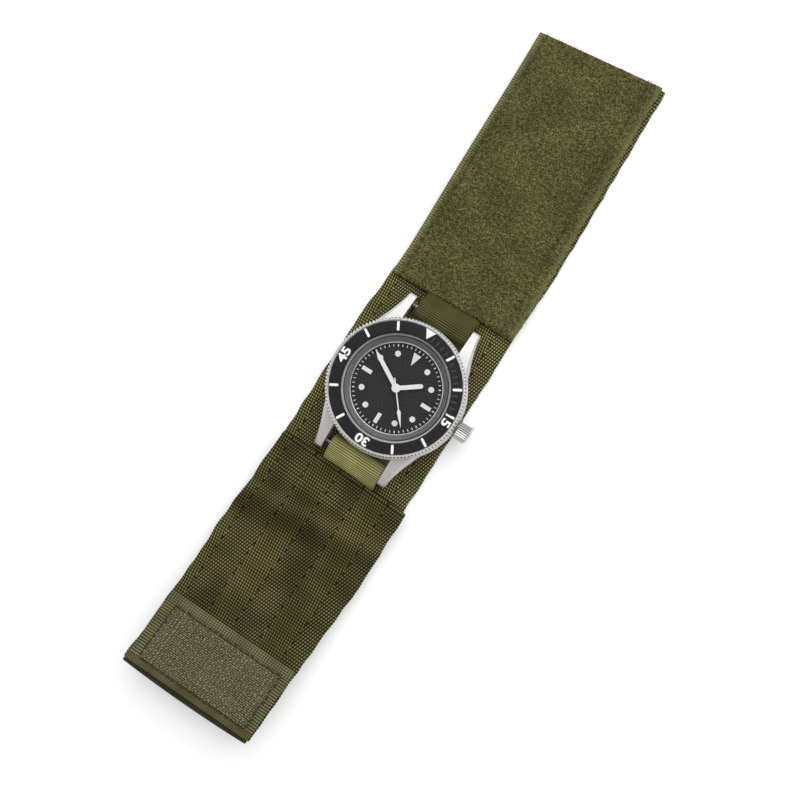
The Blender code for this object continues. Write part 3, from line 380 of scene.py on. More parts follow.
def webbing_finish(name, bead, ground, patch_dark, patch_light, shading_bands=()):
    """Beads on a dark ground. A shading band is painted shade or painted light across the cloth: a place
    along the cloth, its reach, its brightness there and its slant.
    """
    made, tree, shader = finish(name, bead, 0.7, shine=CLOTH_SHINE)
    where, across, along = cloth_place(tree)
    stripe = over(across, STRIPE)
    odd = calc("FLOORED_MODULO", calc("FLOOR", stripe), 2.0)
    grey = minus(1.0, odd)
    row = over(along, ROW_PITCH)
    lean = minus(times(grey, LEAN_CHANGE), LEAN_BACK)
    column = minus(over(across, BEAD_PITCH), times(row, lean))
    side_bead = wave(fraction(column), math.pi)
    row_bead = wave(fraction(row), math.pi)
    dome = times(side_bead, plus(times(row_bead, 0.75), 0.25))
    shown = between(dome, 0.45, 0.95)
    uneven = cloudy(where, 1500.0, 3.0)
    broad = cloudy(stretched(where, (1.0, 0.45, 1.0)), 120.0, 1.0)
    crosswise = cloudy(stretched(where, (0.35, 1.0, 1.0)), 95.0, 1.0)
    shade = between(plus(broad, crosswise), 0.72, 1.25, patch_dark, patch_light)
    # Each band multiplies the colour: below 1 it is painted shade, above 1 painted light.
    for place, reach, painted_brightness, slant in shading_bands:
        straight = minus(along, times(across, slant))
        shade = times(shade, between(apart(straight, place), 0.0, reach, painted_brightness, 1.0))
    lit = blended(grey, bead, (bead[0] * 0.96, bead[1] * 0.92, bead[2] * 1.15))
    lit = blended(times(uneven, 0.55), lit, tinted(bead, 0.5))
    deep = blended(grey, ground, tinted(ground, 0.82))
    colour = blended(shown, deep, lit)
    from_seam = apart(fraction(plus(stripe, 0.5)), 0.5)
    from_hole = apart(fraction(over(along, PINHOLE_PITCH)), 0.5)
    pinhole = times(between(from_seam, 0.050, 0.025), between(from_hole, 0.15, 0.08))
    colour = blended(times(pinhole, 0.8), colour, tinted(ground, 0.3))
    paint(shader, dimmed(colour, shade))
    relief(shader, minus(dome, times(pinhole, 0.8)), 0.11 * MM)
    return made


# Painted shade beside the fold, a painted lighter band where the flap falls towards the band, and painted
# shade in the soft crease where it meets the band.
FLAP_SHADING_BANDS = (
    (-30 * MM, 6 * MM, 0.88, 0.0),
    (-43 * MM, 4.5 * MM, 1.25, 0.12),
    (-49.3 * MM, 6 * MM, 0.55, 0.12),
)
cover_webbing = webbing_finish("cover_webbing", bead=(0.255, 0.230, 0.102), ground=(0.032, 0.027, 0.0060),
                               patch_dark=0.66, patch_light=1.2, shading_bands=FLAP_SHADING_BANDS)
base_webbing = webbing_finish("base_webbing", bead=(0.420, 0.390, 0.165), ground=(0.040, 0.036, 0.009),
                              patch_dark=0.88, patch_light=1.15)
print("weave:", round(BEAD_PITCH / MM, 2), "by", round(ROW_PITCH / MM, 2), "mm")

# %% [markdown]
# ## Ribbed finishes
#
# Woven edges, the narrow band and the backs of the touch fastener all show fine ribs. One finish draws
# them: a sine across or along the cloth, with smaller beads on each rib and a few random specks. A painted
# end shadow makes the cloth darker towards one end: it gives two places along the cloth and the brightness
# at each.

# %% Ribbed finish
EDGE_PITCH, HEM_PITCH, NARROW_PITCH = 0.8 * MM, 0.62 * MM, 0.72 * MM


def rib_finish(name, light, dark, pitch, crosswise=False, height=0.05 * MM, bead=0.25, painted_end_shadow=None):
    """Ribs with smaller beads on them, crosswise or lengthwise."""
    made, tree, shader = finish(name, light, 0.7, shine=CLOTH_SHINE)
    where, across, along = cloth_place(tree)
    first, second = (along, across) if crosswise else (across, along)
    ribs = wave(first, math.tau / pitch)
    beads = wave(second, math.tau / (pitch * 0.85))
    surface = plus(ribs, times(beads, bead))
    specks = cloudy(where, 900.0, 3.0)
    shade = between(cloudy(where, 140.0, 1.0), 0.3, 0.7, 0.85, 1.12)
    if painted_end_shadow:
        shade = times(shade, between(along, *painted_end_shadow))
    colour = blended(between(surface, -0.75, 0.8), dark, light)
    colour = blended(times(specks, 0.4), colour, dark)
    paint(shader, dimmed(colour, shade))
    relief(shader, surface, height)
    return made


selvage = rib_finish("selvage", (0.310, 0.303, 0.150), (0.078, 0.075, 0.030), EDGE_PITCH, True, bead=0.4)
hook_edge = rib_finish("hook_edge", (0.245, 0.232, 0.122), (0.036, 0.034, 0.011), EDGE_PITCH, True, bead=0.6)
hem = rib_finish("hem", (0.165, 0.150, 0.078), (0.050, 0.043, 0.018), HEM_PITCH)
# The base band's hem is a darker copy of the hem: painted shadow under the flap's end.
band_hem_in_shadow = rib_finish("band_hem_in_shadow", (0.105, 0.092, 0.045), (0.028, 0.024, 0.009), HEM_PITCH)
# The narrow band is painted into shadow towards its upper end, from under the case's upper side down to 0.22
# of its brightness; its lower part keeps the full colour.
narrow_cloth = rib_finish("narrow_cloth", (0.60, 0.575, 0.245), (0.150, 0.142, 0.042), NARROW_PITCH, True,
                          height=0.04 * MM, bead=0.12, painted_end_shadow=(55 * MM, 65 * MM, 1.0, 0.22))
print("ribbed finishes:", selvage.name, hook_edge.name, hem.name, narrow_cloth.name)

# %% [markdown]
# ## Cutting and laying cloth
#
# Each layer is cut flat, as on a table: a grid of faces that is extruded to the cloth's thickness, with
# its own map in metres. Then every point moves to where that layer lies on the strap. Cut first and laid
# second, the weave keeps its true size round the folds. A layer is made in lengths that meet in the middle
# of a bending part, so each length crosses one hinge only.

# %% Cutting cloth
CLOTH_STEP = 0.6 * MM
EDGE_REACH, EDGE_LOOP = 0.9 * MM, 0.08 * MM
WANDER, WANDER_REACH = 0.32 * MM, 6 * MM


def map_cloth(bm):
    """Writes the flat place of each corner, in metres, as the cloth's map.

    The height is added to the place across, so that the edges of the cloth have a pattern too."""
    cloth_map = bm.loops.layers.uv.verify()
    for face in bm.faces:
        for loop in face.loops:
            co = loop.vert.co
            loop[cloth_map].uv = (co.x + co.z, co.y)


def cut_cloth(left, right, start, end, thick, step_across, step_along):
    """A flat slab of cloth from its wrong side at z = 0, with its map."""
    bm = bmesh.new()
    start, end = sorted((start, end))
    columns = max(1, round((right - left) / step_across))
    rows = max(1, round((end - start) / step_along))
    bmesh.ops.create_grid(bm, x_segments=columns, y_segments=rows, size=0.5)
    bmesh.ops.scale(bm, verts=bm.verts, vec=(right - left, end - start, 1))
    bmesh.ops.translate(bm, verts=bm.verts, vec=((left + right) / 2, (start + end) / 2, 0))
    raised = bmesh.ops.extrude_face_region(bm, geom=bm.faces[:])["geom"]
    top = [v for v in raised if isinstance(v, bmesh.types.BMVert)]
    bmesh.ops.translate(bm, verts=top, vec=(0, 0, thick))
    bmesh.ops.recalc_face_normals(bm, faces=bm.faces)
    map_cloth(bm)
    return bm


def settle(name, bm, laid, *finishes):
    """Moves each point from the table to the strap, and makes the object."""
    for vert in bm.verts:
        vert.co = laid(*vert.co)
    made = object_from(mesh_from(bm, name), name, *finishes)
    made.data.uv_layers[0].name = CLOTH_MAP
    made.data.shade_smooth()
    return made


def lifted_from(floor_at, x, y, lift):
    """The point a lift above a floor, square to its slope."""
    near = 0.2 * MM
    slope = (floor_at(y + near) - floor_at(y - near)) / (2 * near)
    size = math.hypot(1, slope)
    return Vector((x, y - lift * slope / size, floor_at(y) + lift / size))


def edge_draw(x, left, right, thick, h):
    """Draws a cloth's thickness in towards its woven edges."""
    near = min(x - left, right - x)
    share = 0.5 + 0.5 * smoothstep(near / EDGE_REACH)
    return thick / 2 + (h - thick / 2) * share


def scallop(x, y, left, right):
    """The woven edge: a small loop at each row, on an edge that is never quite straight."""
    near = min(x - left, right - x)
    outward = 1 if x > (left + right) / 2 else -1
    loops = EDGE_LOOP * math.cos(math.tau * y / ROW_PITCH) * (1 - smoothstep(near / EDGE_REACH))
    wander = WANDER * noise.noise(Vector((outward * 3.0, y * 220, 1.7)))
    wander *= 1 - smoothstep(near / WANDER_REACH)
    return x + outward * (loops + wander)


print("cutting table ready")

# %% [markdown]
# ## Base band
#
# The base band runs the whole length. Beside the watch it bulges a little to the left. Under the loop
# panel the stitching draws it in and tucks its left edge out of sight. Its woven edges are thinner than
# the cloth, with a small loop at each row. Its lower end is a ribbed hem that bows outwards, painted
# darker than the flap's hem as painted shadow under the flap's end.

# %% Base band
BAND_CUTS = [0, 43.2 * MM, 55.2 * MM, 67.2 * MM, BAND_UPPER_END]
LOWER_CUTS = [0, -40.8 * MM, -55.2 * MM, -68.8 * MM, -BAND_LOWER_END]
UPPER_CHAIN = (["strap_center", "upper_1", "upper_2", "upper_3", "upper_4"], UPPER_HINGES, 1)
LOWER_CHAIN = (["strap_center", "lower_1", "lower_2", "lower_3", "lower_4"], LOWER_HINGES, -1)
BULGE, BOW, HEM_LENGTH = 0.45 * MM, 0.5 * MM, 3.4 * MM
TUCK, FAR_TUCK, DRAWN_IN = 1.1 * MM, 0.7 * MM, 0.025


def band_laid(x, y, h):
    h = edge_draw(x, BAND_LEFT, BAND_RIGHT, BAND_THICK, h)
    x = scallop(x, y, BAND_LEFT, BAND_RIGHT)
    skew = end_skew(y) * (x / (BAND_RIGHT - BAND_LEFT))
    bulge = -BULGE * (1 - rise(y, 4 * MM, 20 * MM)) * (1 - rise(-y, 28 * MM, 8 * MM))
    drawn = 1 - DRAWN_IN * rise(y, 16 * MM, 10 * MM)
    middle = (BAND_LEFT + BAND_RIGHT) / 2
    from_left = (x - BAND_LEFT) / (BAND_RIGHT - BAND_LEFT)
    left_tuck = (TUCK + FAR_TUCK * rise(y, 60 * MM, 50 * MM)) * rise(y, 29 * MM, 6 * MM)
    right_tuck = TUCK * rise(y, 30 * MM, 25 * MM)
    tuck = left_tuck * (1 - from_left) + right_tuck * from_left
    bow = -BOW * rise(-y, 98 * MM, 8 * MM) * (1 - (x / BAND_LEFT) ** 2)
    x = middle + (x - middle) * drawn + drift(y) + bulge + tuck
    return lifted_from(band_floor, x, y + skew + bow, h)


def bend_on(piece):
    """Bakes a length of cloth's placement into its mesh."""
    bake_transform(piece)


band_pieces = []
for half, cuts, chain in (("upper", BAND_CUTS, UPPER_CHAIN), ("lower", LOWER_CUTS, LOWER_CHAIN)):
    for i in range(4):
        bm = cut_cloth(BAND_LEFT, BAND_RIGHT, cuts[i], cuts[i + 1], BAND_THICK, CLOTH_STEP, ROW_PITCH / 4)
        for face in bm.faces:
            # The last 3.4 mm of the lower end take the hem in painted shadow.
            face.material_index = 1 if face.calc_center_median().y < -BAND_LOWER_END + HEM_LENGTH else 0
        piece = settle(f"webbing_{half}_{i + 1}", bm, band_laid, base_webbing, band_hem_in_shadow)
        bend_on(piece)
        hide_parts(f"base_band_{half}_{i + 1}", *(["base_band_center"] if i == 0 else []))
        band_pieces.append(piece)
print("base band pieces:", len(band_pieces), "faces:", sum(len(p.data.polygons) for p in band_pieces))

# %% [markdown]
# ## Cover flap
#
# The flap is the same webbing, folded just below the watch and laid open on the lower half. It rests on
# its sewn root near the fold, falls to the band in a soft crease, and follows the band's curl to its end.
# The rolled fold is a quarter of a tube. Loose cloth keeps soft waves, so a few low ridges are added above
# where it would lie flat.

# %% Cover flap
COVER_SIDE = 21.3 * MM
COVER_THICK = 1.2 * MM
FOLD_Y, FOLD_Z, FOLD_RADIUS = -29.4 * MM, 4.1 * MM, 0.2 * MM
CREASE = -47.6 * MM
COVER_END = -104.7 * MM
QUARTER = (FOLD_RADIUS + COVER_THICK / 2) * math.pi / 2
LAST_CUT = -89.6 * MM
SWELLS = ((-38.5 * MM, 3.0 * MM, 0.75 * MM, -0.12), (-53 * MM, 4.0 * MM, 0.55 * MM, 0.10))
LOOSE = 0.22 * MM
WIDER, WIDEST_AT, WIDE_REACH = 0.033, -55 * MM, 15 * MM
FOLD_SLANT, SLANT_REACH = 0.028, 12 * MM


def cover_floor(y):
    on_band = band_floor(y) + BAND_THICK + LAYER_GAP
    fold_height = FOLD_Z + FOLD_RADIUS
    return fold_height + (on_band - fold_height) * rise(-y, LOWER_HINGE, -CREASE - LOWER_HINGE)


def cover_swell(x, y):
    """Soft waves of the loose cloth. A swell is a place, its reach, its height and its slant."""
    height = LOOSE * (1 + noise.noise(Vector((x * 70, y * 45, 3.1))))
    for place, reach, top, slant in SWELLS:
        height += top * math.exp(-((y - place + slant * x) / reach) ** 2)
    return height * rise(-y, 4 * MM - FOLD_Y, 5 * MM) * rise(y, -92 * MM, 12 * MM)


def cover_sideways(x, y):
    """The flap's drift, its wide middle, and the slant of its fold."""
    wide = 1 + WIDER * math.exp(-((y - WIDEST_AT) / WIDE_REACH) ** 2)
    slant = -FOLD_SLANT * x * (1 - rise(-y, -FOLD_Y, SLANT_REACH))
    return x * wide + drift(y), slant


def cover_laid(x, y, h):
    """Cloth before the fold line wraps round the fold, the rest lies on the band."""
    h = edge_draw(x, -COVER_SIDE, COVER_SIDE, COVER_THICK, h)
    x = scallop(x, y, -COVER_SIDE, COVER_SIDE)
    placed, slant = cover_sideways(x, y)
    if y > FOLD_Y:
        angle = math.pi / 2 * (1 - (y - FOLD_Y) / QUARTER)
        reach = FOLD_RADIUS + h
        return Vector((placed, FOLD_Y + slant + reach * math.cos(angle), FOLD_Z + reach * math.sin(angle)))
    point = lifted_from(cover_floor, placed, y, h + cover_swell(x, y))
    return point + Vector((0, slant, 0))


COVER_CUTS = [FOLD_Y + QUARTER, -36 * MM, -63.2 * MM, LAST_CUT, COVER_END]
for i, (start, end) in enumerate(zip(COVER_CUTS, COVER_CUTS[1:])):
    bm = cut_cloth(-COVER_SIDE, COVER_SIDE, start, end, COVER_THICK, CLOTH_STEP, ROW_PITCH / 4)
    piece = settle(f"cover_webbing_{i + 1}", bm, cover_laid, cover_webbing)
    if i == 0:
        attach(piece, "cover_riser")
    else:
        bend_on(piece)
    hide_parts(f"cover_flap_{i + 1}")
    print(piece.name, len(piece.data.polygons), "faces")

# %% Cover root
ROOT_START, ROOT_END, ROOT_FLOOR = -LOWER_HINGE + 0.15 * MM, -31.1 * MM, 2.7 * MM


def root_laid(x, y, h):
    return Vector((x, y, ROOT_FLOOR + edge_draw(x, -COVER_SIDE, COVER_SIDE, COVER_THICK, h)))


bm = cut_cloth(-COVER_SIDE, COVER_SIDE, ROOT_START, ROOT_END, COVER_THICK, CLOTH_STEP, ROW_PITCH / 2)
cover_root = settle("cover_root", bm, root_laid, cover_webbing)
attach(cover_root, "strap_center")
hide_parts("cover_anchor")
print("root from", round(ROOT_START / MM, 1), "to", round(ROOT_END / MM, 1), "mm")

# %% [markdown]
# ## Loop panel
#
# The loop side of a touch fastener is brushed until it looks like felt: a mass of tiny nylon loops that
# stand in no order. A padded slab with rounded edges carries it, with a flat woven selvage along its left
# edge and a shallow groove where the stitches pull it down. A mottled finish gives the slab its colour,
# painted darker than the fibres as painted shade deep in the pile. Its near edge lifts over the narrow
# band, which runs in below it.

# %% Pile finish
LOOP_LEFT, LOOP_RIGHT = -20.2 * MM, 20.2 * MM
LOOP_START, LOOP_FLOOR, LOOP_THICK = 29.1 * MM, 1.5 * MM, 2.0 * MM
SELVAGE_WIDTH, SELVAGE_THICK = 1.3 * MM, 1.1 * MM
NEAR_SKEW = 1.4 * MM
LEFT_SEAM, RIGHT_SEAM = -17.6 * MM, 16.0 * MM
DIMPLE_PITCH = 2.6 * MM
SEAM_THREAD_AND_SHADE = (0.052, 0.062, 0.024)


def pile_finish(name, light, dark, curl_scale):
    """Curls, tufts and broad patches, the green of the seam thread with painted shade in its dimples along
    the two seams, and a paler fringe at both edges.

    The map adds the slab's thickness to the place across, so it is taken off first."""
    made, tree, shader = finish(name, light, 0.95, shine=CLOTH_SHINE)
    where, across, along = cloth_place(tree)
    across = minus(across, LOOP_THICK)
    curls = cloudy(where, curl_scale, 2.0)
    tufts = cloudy(where, 850.0, 2.0)
    broad = cloudy(where, 90.0, 1.0)
    colour = blended(between(curls, 0.38, 0.62), dark, light)
    colour = blended(between(tufts, 0.42, 0.60, 0.0, 0.45), colour, tinted(dark, 0.5))
    from_left, from_right = minus(across, LOOP_LEFT), minus(LOOP_RIGHT, across)
    fringe = between(calc("MINIMUM", from_left, from_right), 2.3 * MM, 0.5 * MM, 0.0, 0.4)
    colour = blended(fringe, colour, tinted(light, 1.2))
    # Along each seam the pile takes the thread's green, and painted shade that is darkest where each stitch
    # pulls the pile down.
    for seam in (LEFT_SEAM, RIGHT_SEAM):
        step = fraction(over(along, DIMPLE_PITCH))
        dimple = between(apart(step, 0.5), 0.45, 0.1, 0.05, 0.33)
        beside = between(apart(across, seam), 1.1 * MM, 0.1 * MM)
        colour = blended(times(beside, dimple), colour, SEAM_THREAD_AND_SHADE)
    paint(shader, dimmed(colour, between(broad, 0.3, 0.7, 0.86, 1.14)))
    relief(shader, plus(curls, tufts), 0.2 * MM)
    return made


# The slab is painted darker than the fibres: painted shade deep in the pile.
pile = pile_finish("pile", (0.180, 0.168, 0.070), (0.042, 0.038, 0.011), curl_scale=2200.0)
pile_fibre = pile_finish("pile_fibre", (0.480, 0.455, 0.230), (0.070, 0.063, 0.020), curl_scale=3000.0)
print("pile ready")

# %% Loop panel
PILE_STEP = 0.4 * MM
FULL_PILE = LOOP_THICK - 0.35 * MM
LUMP, SMALL_LUMP, GROOVE = 0.14 * MM, 0.10 * MM, 0.4 * MM
TUNNEL_LEFT, TUNNEL_RIGHT, TUNNEL_RISE = -9.4 * MM, 10.1 * MM, 1.15 * MM
RAGGED, NARROWER, ASIDE = 0.2 * MM, 0.03, 0.35 * MM


def pile_top(x, y):
    """Height of the pile: low at the selvage, rounded at the other edges, pulled down along the seams."""
    shoulder = rise(x, LOOP_LEFT + SELVAGE_WIDTH - 0.3 * MM, 0.9 * MM)
    right = 0.3 + 0.7 * rise(-x, -LOOP_RIGHT, 1.3 * MM)
    ends = 0.4 + 0.6 * rise(y, LOOP_START, 0.8 * MM) * rise(-y, -BAND_UPPER_END, 0.9 * MM)
    lumps = LUMP * noise.noise(Vector((x * 260, y * 260, 0.0)))
    lumps += SMALL_LUMP * noise.noise(Vector((x * 800, y * 800, 5.0)))
    from_seam = min(abs(x - LEFT_SEAM), abs(x - RIGHT_SEAM))
    dimple = 0.6 - 0.4 * math.cos(y * math.tau / DIMPLE_PITCH)
    groove = GROOVE * math.exp(-(from_seam / (0.55 * MM)) ** 2) * dimple
    full = FULL_PILE + (lumps - groove) * shoulder
    return SELVAGE_THICK + (full - SELVAGE_THICK) * shoulder * right * ends


def tunnel(x, y):
    """How far the panel's underside lifts over the narrow band."""
    over_band = rise(x, TUNNEL_LEFT, MM) * rise(-x, -TUNNEL_RIGHT, MM)
    return TUNNEL_RISE * over_band * (1 - rise(y, LOOP_START + 3 * MM, 3 * MM))


def loop_laid(x, y, h):
    if h > LOOP_THICK * 0.75:
        h = pile_top(x, y) + h - LOOP_THICK
    else:
        h = max(h, tunnel(x, y))
    near_skew = NEAR_SKEW * (1 - rise(y, LOOP_START, 9 * MM))
    skewed = y + (end_skew(y) + near_skew) * x / (LOOP_RIGHT - LOOP_LEFT)
    ragged = RAGGED * noise.noise(Vector((x * 600, y * 600, 9.0))) * rise(x, LOOP_RIGHT - MM, MM)
    narrower = 1 - NARROWER * rise(y, 60 * MM, 50 * MM)
    aside = drift(y) + ASIDE * rise(y, LOOP_START, 10 * MM)
    return Vector(((x + ragged) * narrower + aside, skewed, LOOP_FLOOR + h))


LOOP_CUTS = [LOOP_START, *BAND_CUTS[1:]]
for i, (start, end) in enumerate(zip(LOOP_CUTS, LOOP_CUTS[1:])):
    bm = cut_cloth(LOOP_LEFT, LOOP_RIGHT, start, end, LOOP_THICK, PILE_STEP, PILE_STEP)
    for face in bm.faces:
        centre = face.calc_center_median()
        flat = centre.x < LOOP_LEFT + SELVAGE_WIDTH or centre.z < LOOP_THICK / 4
        face.material_index = 1 if flat else 0
    piece = settle(f"loop_pile_{i + 1}", bm, loop_laid, pile, selvage)
    bend_on(piece)
    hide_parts(f"loop_panel_{i + 1}", *(["loop_panel_center"] if i == 0 else []))
print("loop panel follows", UPPER_CHAIN[0])

# %% [markdown]
# ## Fibres of the pile
#
# Thousands of small bent fibres give the pile its soft surface and its fuzzy edges. Each is a three-sided
# thread, extruded in three short steps along a bending path. One tuft of about a hundred fibres is grown,
# then put down all over the panel with a quarter turn chosen at random. The eye can't find the repeat, and
# the script stays quick.

# %% Growing a tuft
def grow_fibre(bm, root, ahead, length, curl, axis, radius, steps=3):
    """One thread: a triangle that is extruded along a path that bends round an axis."""
    base = bmesh.ops.create_circle(bm, cap_ends=True, segments=3, radius=radius)["verts"]
    ahead = Vector(ahead).normalized()
    bmesh.ops.rotate(bm, verts=base, cent=(0, 0, 0), matrix=ahead.to_track_quat("Z", "Y").to_matrix())
    bmesh.ops.translate(bm, verts=base, vec=root)
    cap = list(base[0].link_faces)
    for _ in range(steps):
        cap = bmesh.ops.extrude_discrete_faces(bm, faces=cap)["faces"]
        ahead = Matrix.Rotation(curl / steps, 3, Vector(axis)) @ ahead
        bmesh.ops.translate(bm, verts=cap[0].verts, vec=ahead * length / steps)


TUFTS_ACROSS, TUFTS_ALONG, FIBRES = 8, 18, 95
FIBRE_RADIUS, FIBRE_ROOT = 0.065 * MM, -0.12 * MM
TUFT_ACROSS = (LOOP_RIGHT - LOOP_LEFT - SELVAGE_WIDTH) / TUFTS_ACROSS
TUFT_ALONG = (BAND_UPPER_END - LOOP_START) / TUFTS_ALONG
rng = random.Random(7)
tuft = bmesh.new()
for _ in range(FIBRES):
    root = (rng.uniform(-0.5, 0.5) * TUFT_ACROSS, rng.uniform(-0.5, 0.5) * TUFT_ALONG, FIBRE_ROOT)
    swing = rng.uniform(0, math.tau)
    ahead = (math.cos(swing), math.sin(swing), rng.uniform(0.35, 1.0))
    axis = (rng.uniform(-1, 1), rng.uniform(-1, 1), rng.uniform(-0.5, 0.5))
    grow_fibre(tuft, root, ahead, rng.uniform(0.6, 1.1) * MM, rng.uniform(1.2, 2.6), axis, FIBRE_RADIUS)
tuft_mesh = mesh_from(tuft, "tuft")
print("one tuft:", len(tuft_mesh.polygons), "faces")

# %% Covering the panel with tufts
def put_down(bm, mesh, quarter_turns, place):
    """Adds a copy of a mesh, turned and moved."""
    count = len(bm.verts)
    bm.from_mesh(mesh)
    bm.verts.ensure_lookup_table()
    fresh = bm.verts[count:]
    turned = Matrix.Rotation(math.pi / 2 * quarter_turns, 3, "Z")
    bmesh.ops.rotate(bm, verts=fresh, cent=(0, 0, 0), matrix=turned)
    bmesh.ops.translate(bm, verts=fresh, vec=place)


for i, (start, end) in enumerate(zip(LOOP_CUTS, LOOP_CUTS[1:])):
    bm = bmesh.new()
    for r in range(TUFTS_ALONG):
        y = LOOP_START + (r + 0.5) * TUFT_ALONG
        if start <= y < end:
            for c in range(TUFTS_ACROSS):
                x = LOOP_LEFT + SELVAGE_WIDTH + (c + 0.5) * TUFT_ACROSS
                put_down(bm, tuft_mesh, rng.randrange(4), (x, y, LOOP_THICK))
    map_cloth(bm)
    piece = settle(f"loop_fibres_{i + 1}", bm, loop_laid, pile_fibre)
    bend_on(piece)
    print(piece.name, len(piece.data.polygons), "faces")

# %% [markdown]
# ## Hook tape
#
# The flap's end carries the hook side of the fastener on its face, and the base band carries another below
# its end. The tape is a thin ribbed ground with rows of stiff little hooks. Each hook is a bent wire, made
# as the fibres are but always bent to the side, so the rows keep their order. The tape is sewn down along
# a rectangle, and outside the stitches it is bare.

# %% Hook tape
HOOK_SIDE = 21.0 * MM
HOOK_START, HOOK_THICK = -82.6 * MM, 0.7 * MM
HOOK_LIFT = COVER_THICK + 0.1 * MM
SEAM_LEFT, SEAM_RIGHT, SEAM_START, SEAM_END = -17.6 * MM, 18.2 * MM, -85.7 * MM, -102.7 * MM
HOOK_CUTS = [HOOK_START, LAST_CUT, COVER_END]
GROOVE_DEPTH, GROOVE_REACH = 0.34 * MM, 0.5 * MM
TAPE_WANDER = 0.25 * MM
hook_ground = rib_finish("hook_ground", (0.170, 0.155, 0.088), (0.050, 0.044, 0.018), HEM_PITCH, bead=0.6)
hook_border = rib_finish("hook_border", (0.245, 0.222, 0.128), (0.058, 0.051, 0.023), EDGE_PITCH, bead=1.0)
hook_wire, tree, shader = finish("hook_wire", (0.30, 0.285, 0.19), 0.45, shine=0.2)
where, across, along = cloth_place(tree)
pale = between(cloudy(where, 1300.0, 2.0), 0.35, 0.65)
paint(shader, blended(pale, (0.19, 0.175, 0.098), (0.43, 0.40, 0.27)))


def seam_groove(x, y):
    """How far the stitched rectangle pulls the tape down."""
    beside = min(abs(x - SEAM_LEFT), abs(x - SEAM_RIGHT)) if SEAM_END < y < SEAM_START else 1.0
    across = min(abs(y - SEAM_START), abs(y - SEAM_END)) if SEAM_LEFT < x < SEAM_RIGHT else 1.0
    return GROOVE_DEPTH * math.exp(-(min(beside, across) / GROOVE_REACH) ** 2)


def hook_laid(x, y, h):
    """The tape lies on the flap and goes where the flap goes."""
    near = HOOK_SIDE - abs(x)
    wavy = TAPE_WANDER * noise.noise(Vector((2.0, y * 200, 4.0))) * (1 - smoothstep(near / (2 * MM)))
    if h > HOOK_THICK / 2:
        h -= seam_groove(x, y)
    h *= 0.55 + 0.45 * smoothstep(near / (0.7 * MM))
    placed, _ = cover_sideways(x + wavy, y)
    return lifted_from(cover_floor, placed, y, HOOK_LIFT + h + cover_swell(x, y))


for i, (start, end) in enumerate(zip(HOOK_CUTS, HOOK_CUTS[1:])):
    bm = cut_cloth(-HOOK_SIDE, HOOK_SIDE, start, end, HOOK_THICK, 0.35 * MM, 0.3 * MM)
    for face in bm.faces:
        centre = face.calc_center_median()
        inside = SEAM_LEFT < centre.x < SEAM_RIGHT and SEAM_END < centre.y < SEAM_START
        above, below = centre.y > SEAM_START, centre.y < SEAM_END
        face.material_index = 0 if inside else 3 if above else 2 if below else 1
    piece = settle(f"hook_tape_{i + 1}", bm, hook_laid, hook_ground, hook_edge, hem, hook_border)
    bend_on(piece)
    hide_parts(f"cover_hook_panel_{i + 1}")
print("hook tape from", round(HOOK_START / MM, 1), "to", round(COVER_END / MM, 1), "mm")

# %% Rows of hooks
HOOK_PITCH, HOOK_ROW = 0.54 * MM, 0.58 * MM
HOOK_LENGTH, HOOK_BEND, HOOK_RADIUS = 0.85 * MM, 2.6, 0.14 * MM


def hook_row(left, right, rng):
    """One row of hooks, as a mesh."""
    bm = bmesh.new()
    for k in range(round((right - left) / HOOK_PITCH)):
        x = left + (k + 0.5) * HOOK_PITCH + rng.uniform(-0.05, 0.05) * MM
        aside = 1 if k % 2 else -1
        root = (x, rng.uniform(-0.08, 0.08) * MM, -0.05 * MM)
        ahead = (aside * -0.2, rng.uniform(-0.15, 0.15), 1)
        grow_fibre(bm, root, ahead, HOOK_LENGTH, HOOK_BEND, (0, aside, 0), HOOK_RADIUS, steps=4)
    return mesh_from(bm, "hook_row")


def field_of_hooks(name, left, right, start, end, floor, laid, rng):
    """Rows of hooks between two places along the strap."""
    rows = [hook_row(left, right, rng) for _ in range(3)]
    bm = bmesh.new()
    for r in range(round(abs(end - start) / HOOK_ROW)):
        place = ((r % 2) * HOOK_PITCH / 2, start - (r + 0.5) * HOOK_ROW, floor)
        put_down(bm, rows[r % 3], 0, place)
    map_cloth(bm)
    return settle(name, bm, laid, hook_wire)


rng = random.Random(11)
HOOK_FIELDS = [(SEAM_START - 0.5 * MM, LAST_CUT), (LAST_CUT, SEAM_END + 0.4 * MM)]
for i, (start, end) in enumerate(HOOK_FIELDS):
    piece = field_of_hooks(f"hook_rows_{i + 1}", SEAM_LEFT + 0.4 * MM, SEAM_RIGHT - 0.9 * MM, start, end,
                           HOOK_THICK, hook_laid, rng)
    bend_on(piece)
    print(piece.name, len(piece.data.polygons), "faces")

# %% Hook tape below the band's end
UNDER_LEFT, UNDER_RIGHT = BAND_LEFT + 0.8 * MM, BAND_RIGHT - 0.8 * MM
UNDER_START, UNDER_END = -82 * MM, -BAND_LOWER_END + 0.3 * MM
UNDER_THICK, UNDER_GAP = 0.6 * MM, 0.2 * MM


def under_laid(x, y, h):
    """Below the band: the height counts downwards."""
    return lifted_from(band_floor, x + drift(y), y, -UNDER_GAP - h)


bm = cut_cloth(UNDER_LEFT, UNDER_RIGHT, UNDER_START, UNDER_END, UNDER_THICK, 0.8 * MM, 0.5 * MM)
under_tape = settle("under_hook_tape", bm, under_laid, hook_ground)
under_hooks = field_of_hooks("under_hook_rows", UNDER_LEFT + MM, UNDER_RIGHT - 1.4 * MM, UNDER_START - MM,
                             UNDER_END + MM, UNDER_THICK, under_laid, rng)
for piece in (under_tape, under_hooks):
    piece.data.flip_normals()
    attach(piece, "lower_4")
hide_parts("band_hook_panel")
print("hooks below the band:", len(under_hooks.data.polygons), "faces")

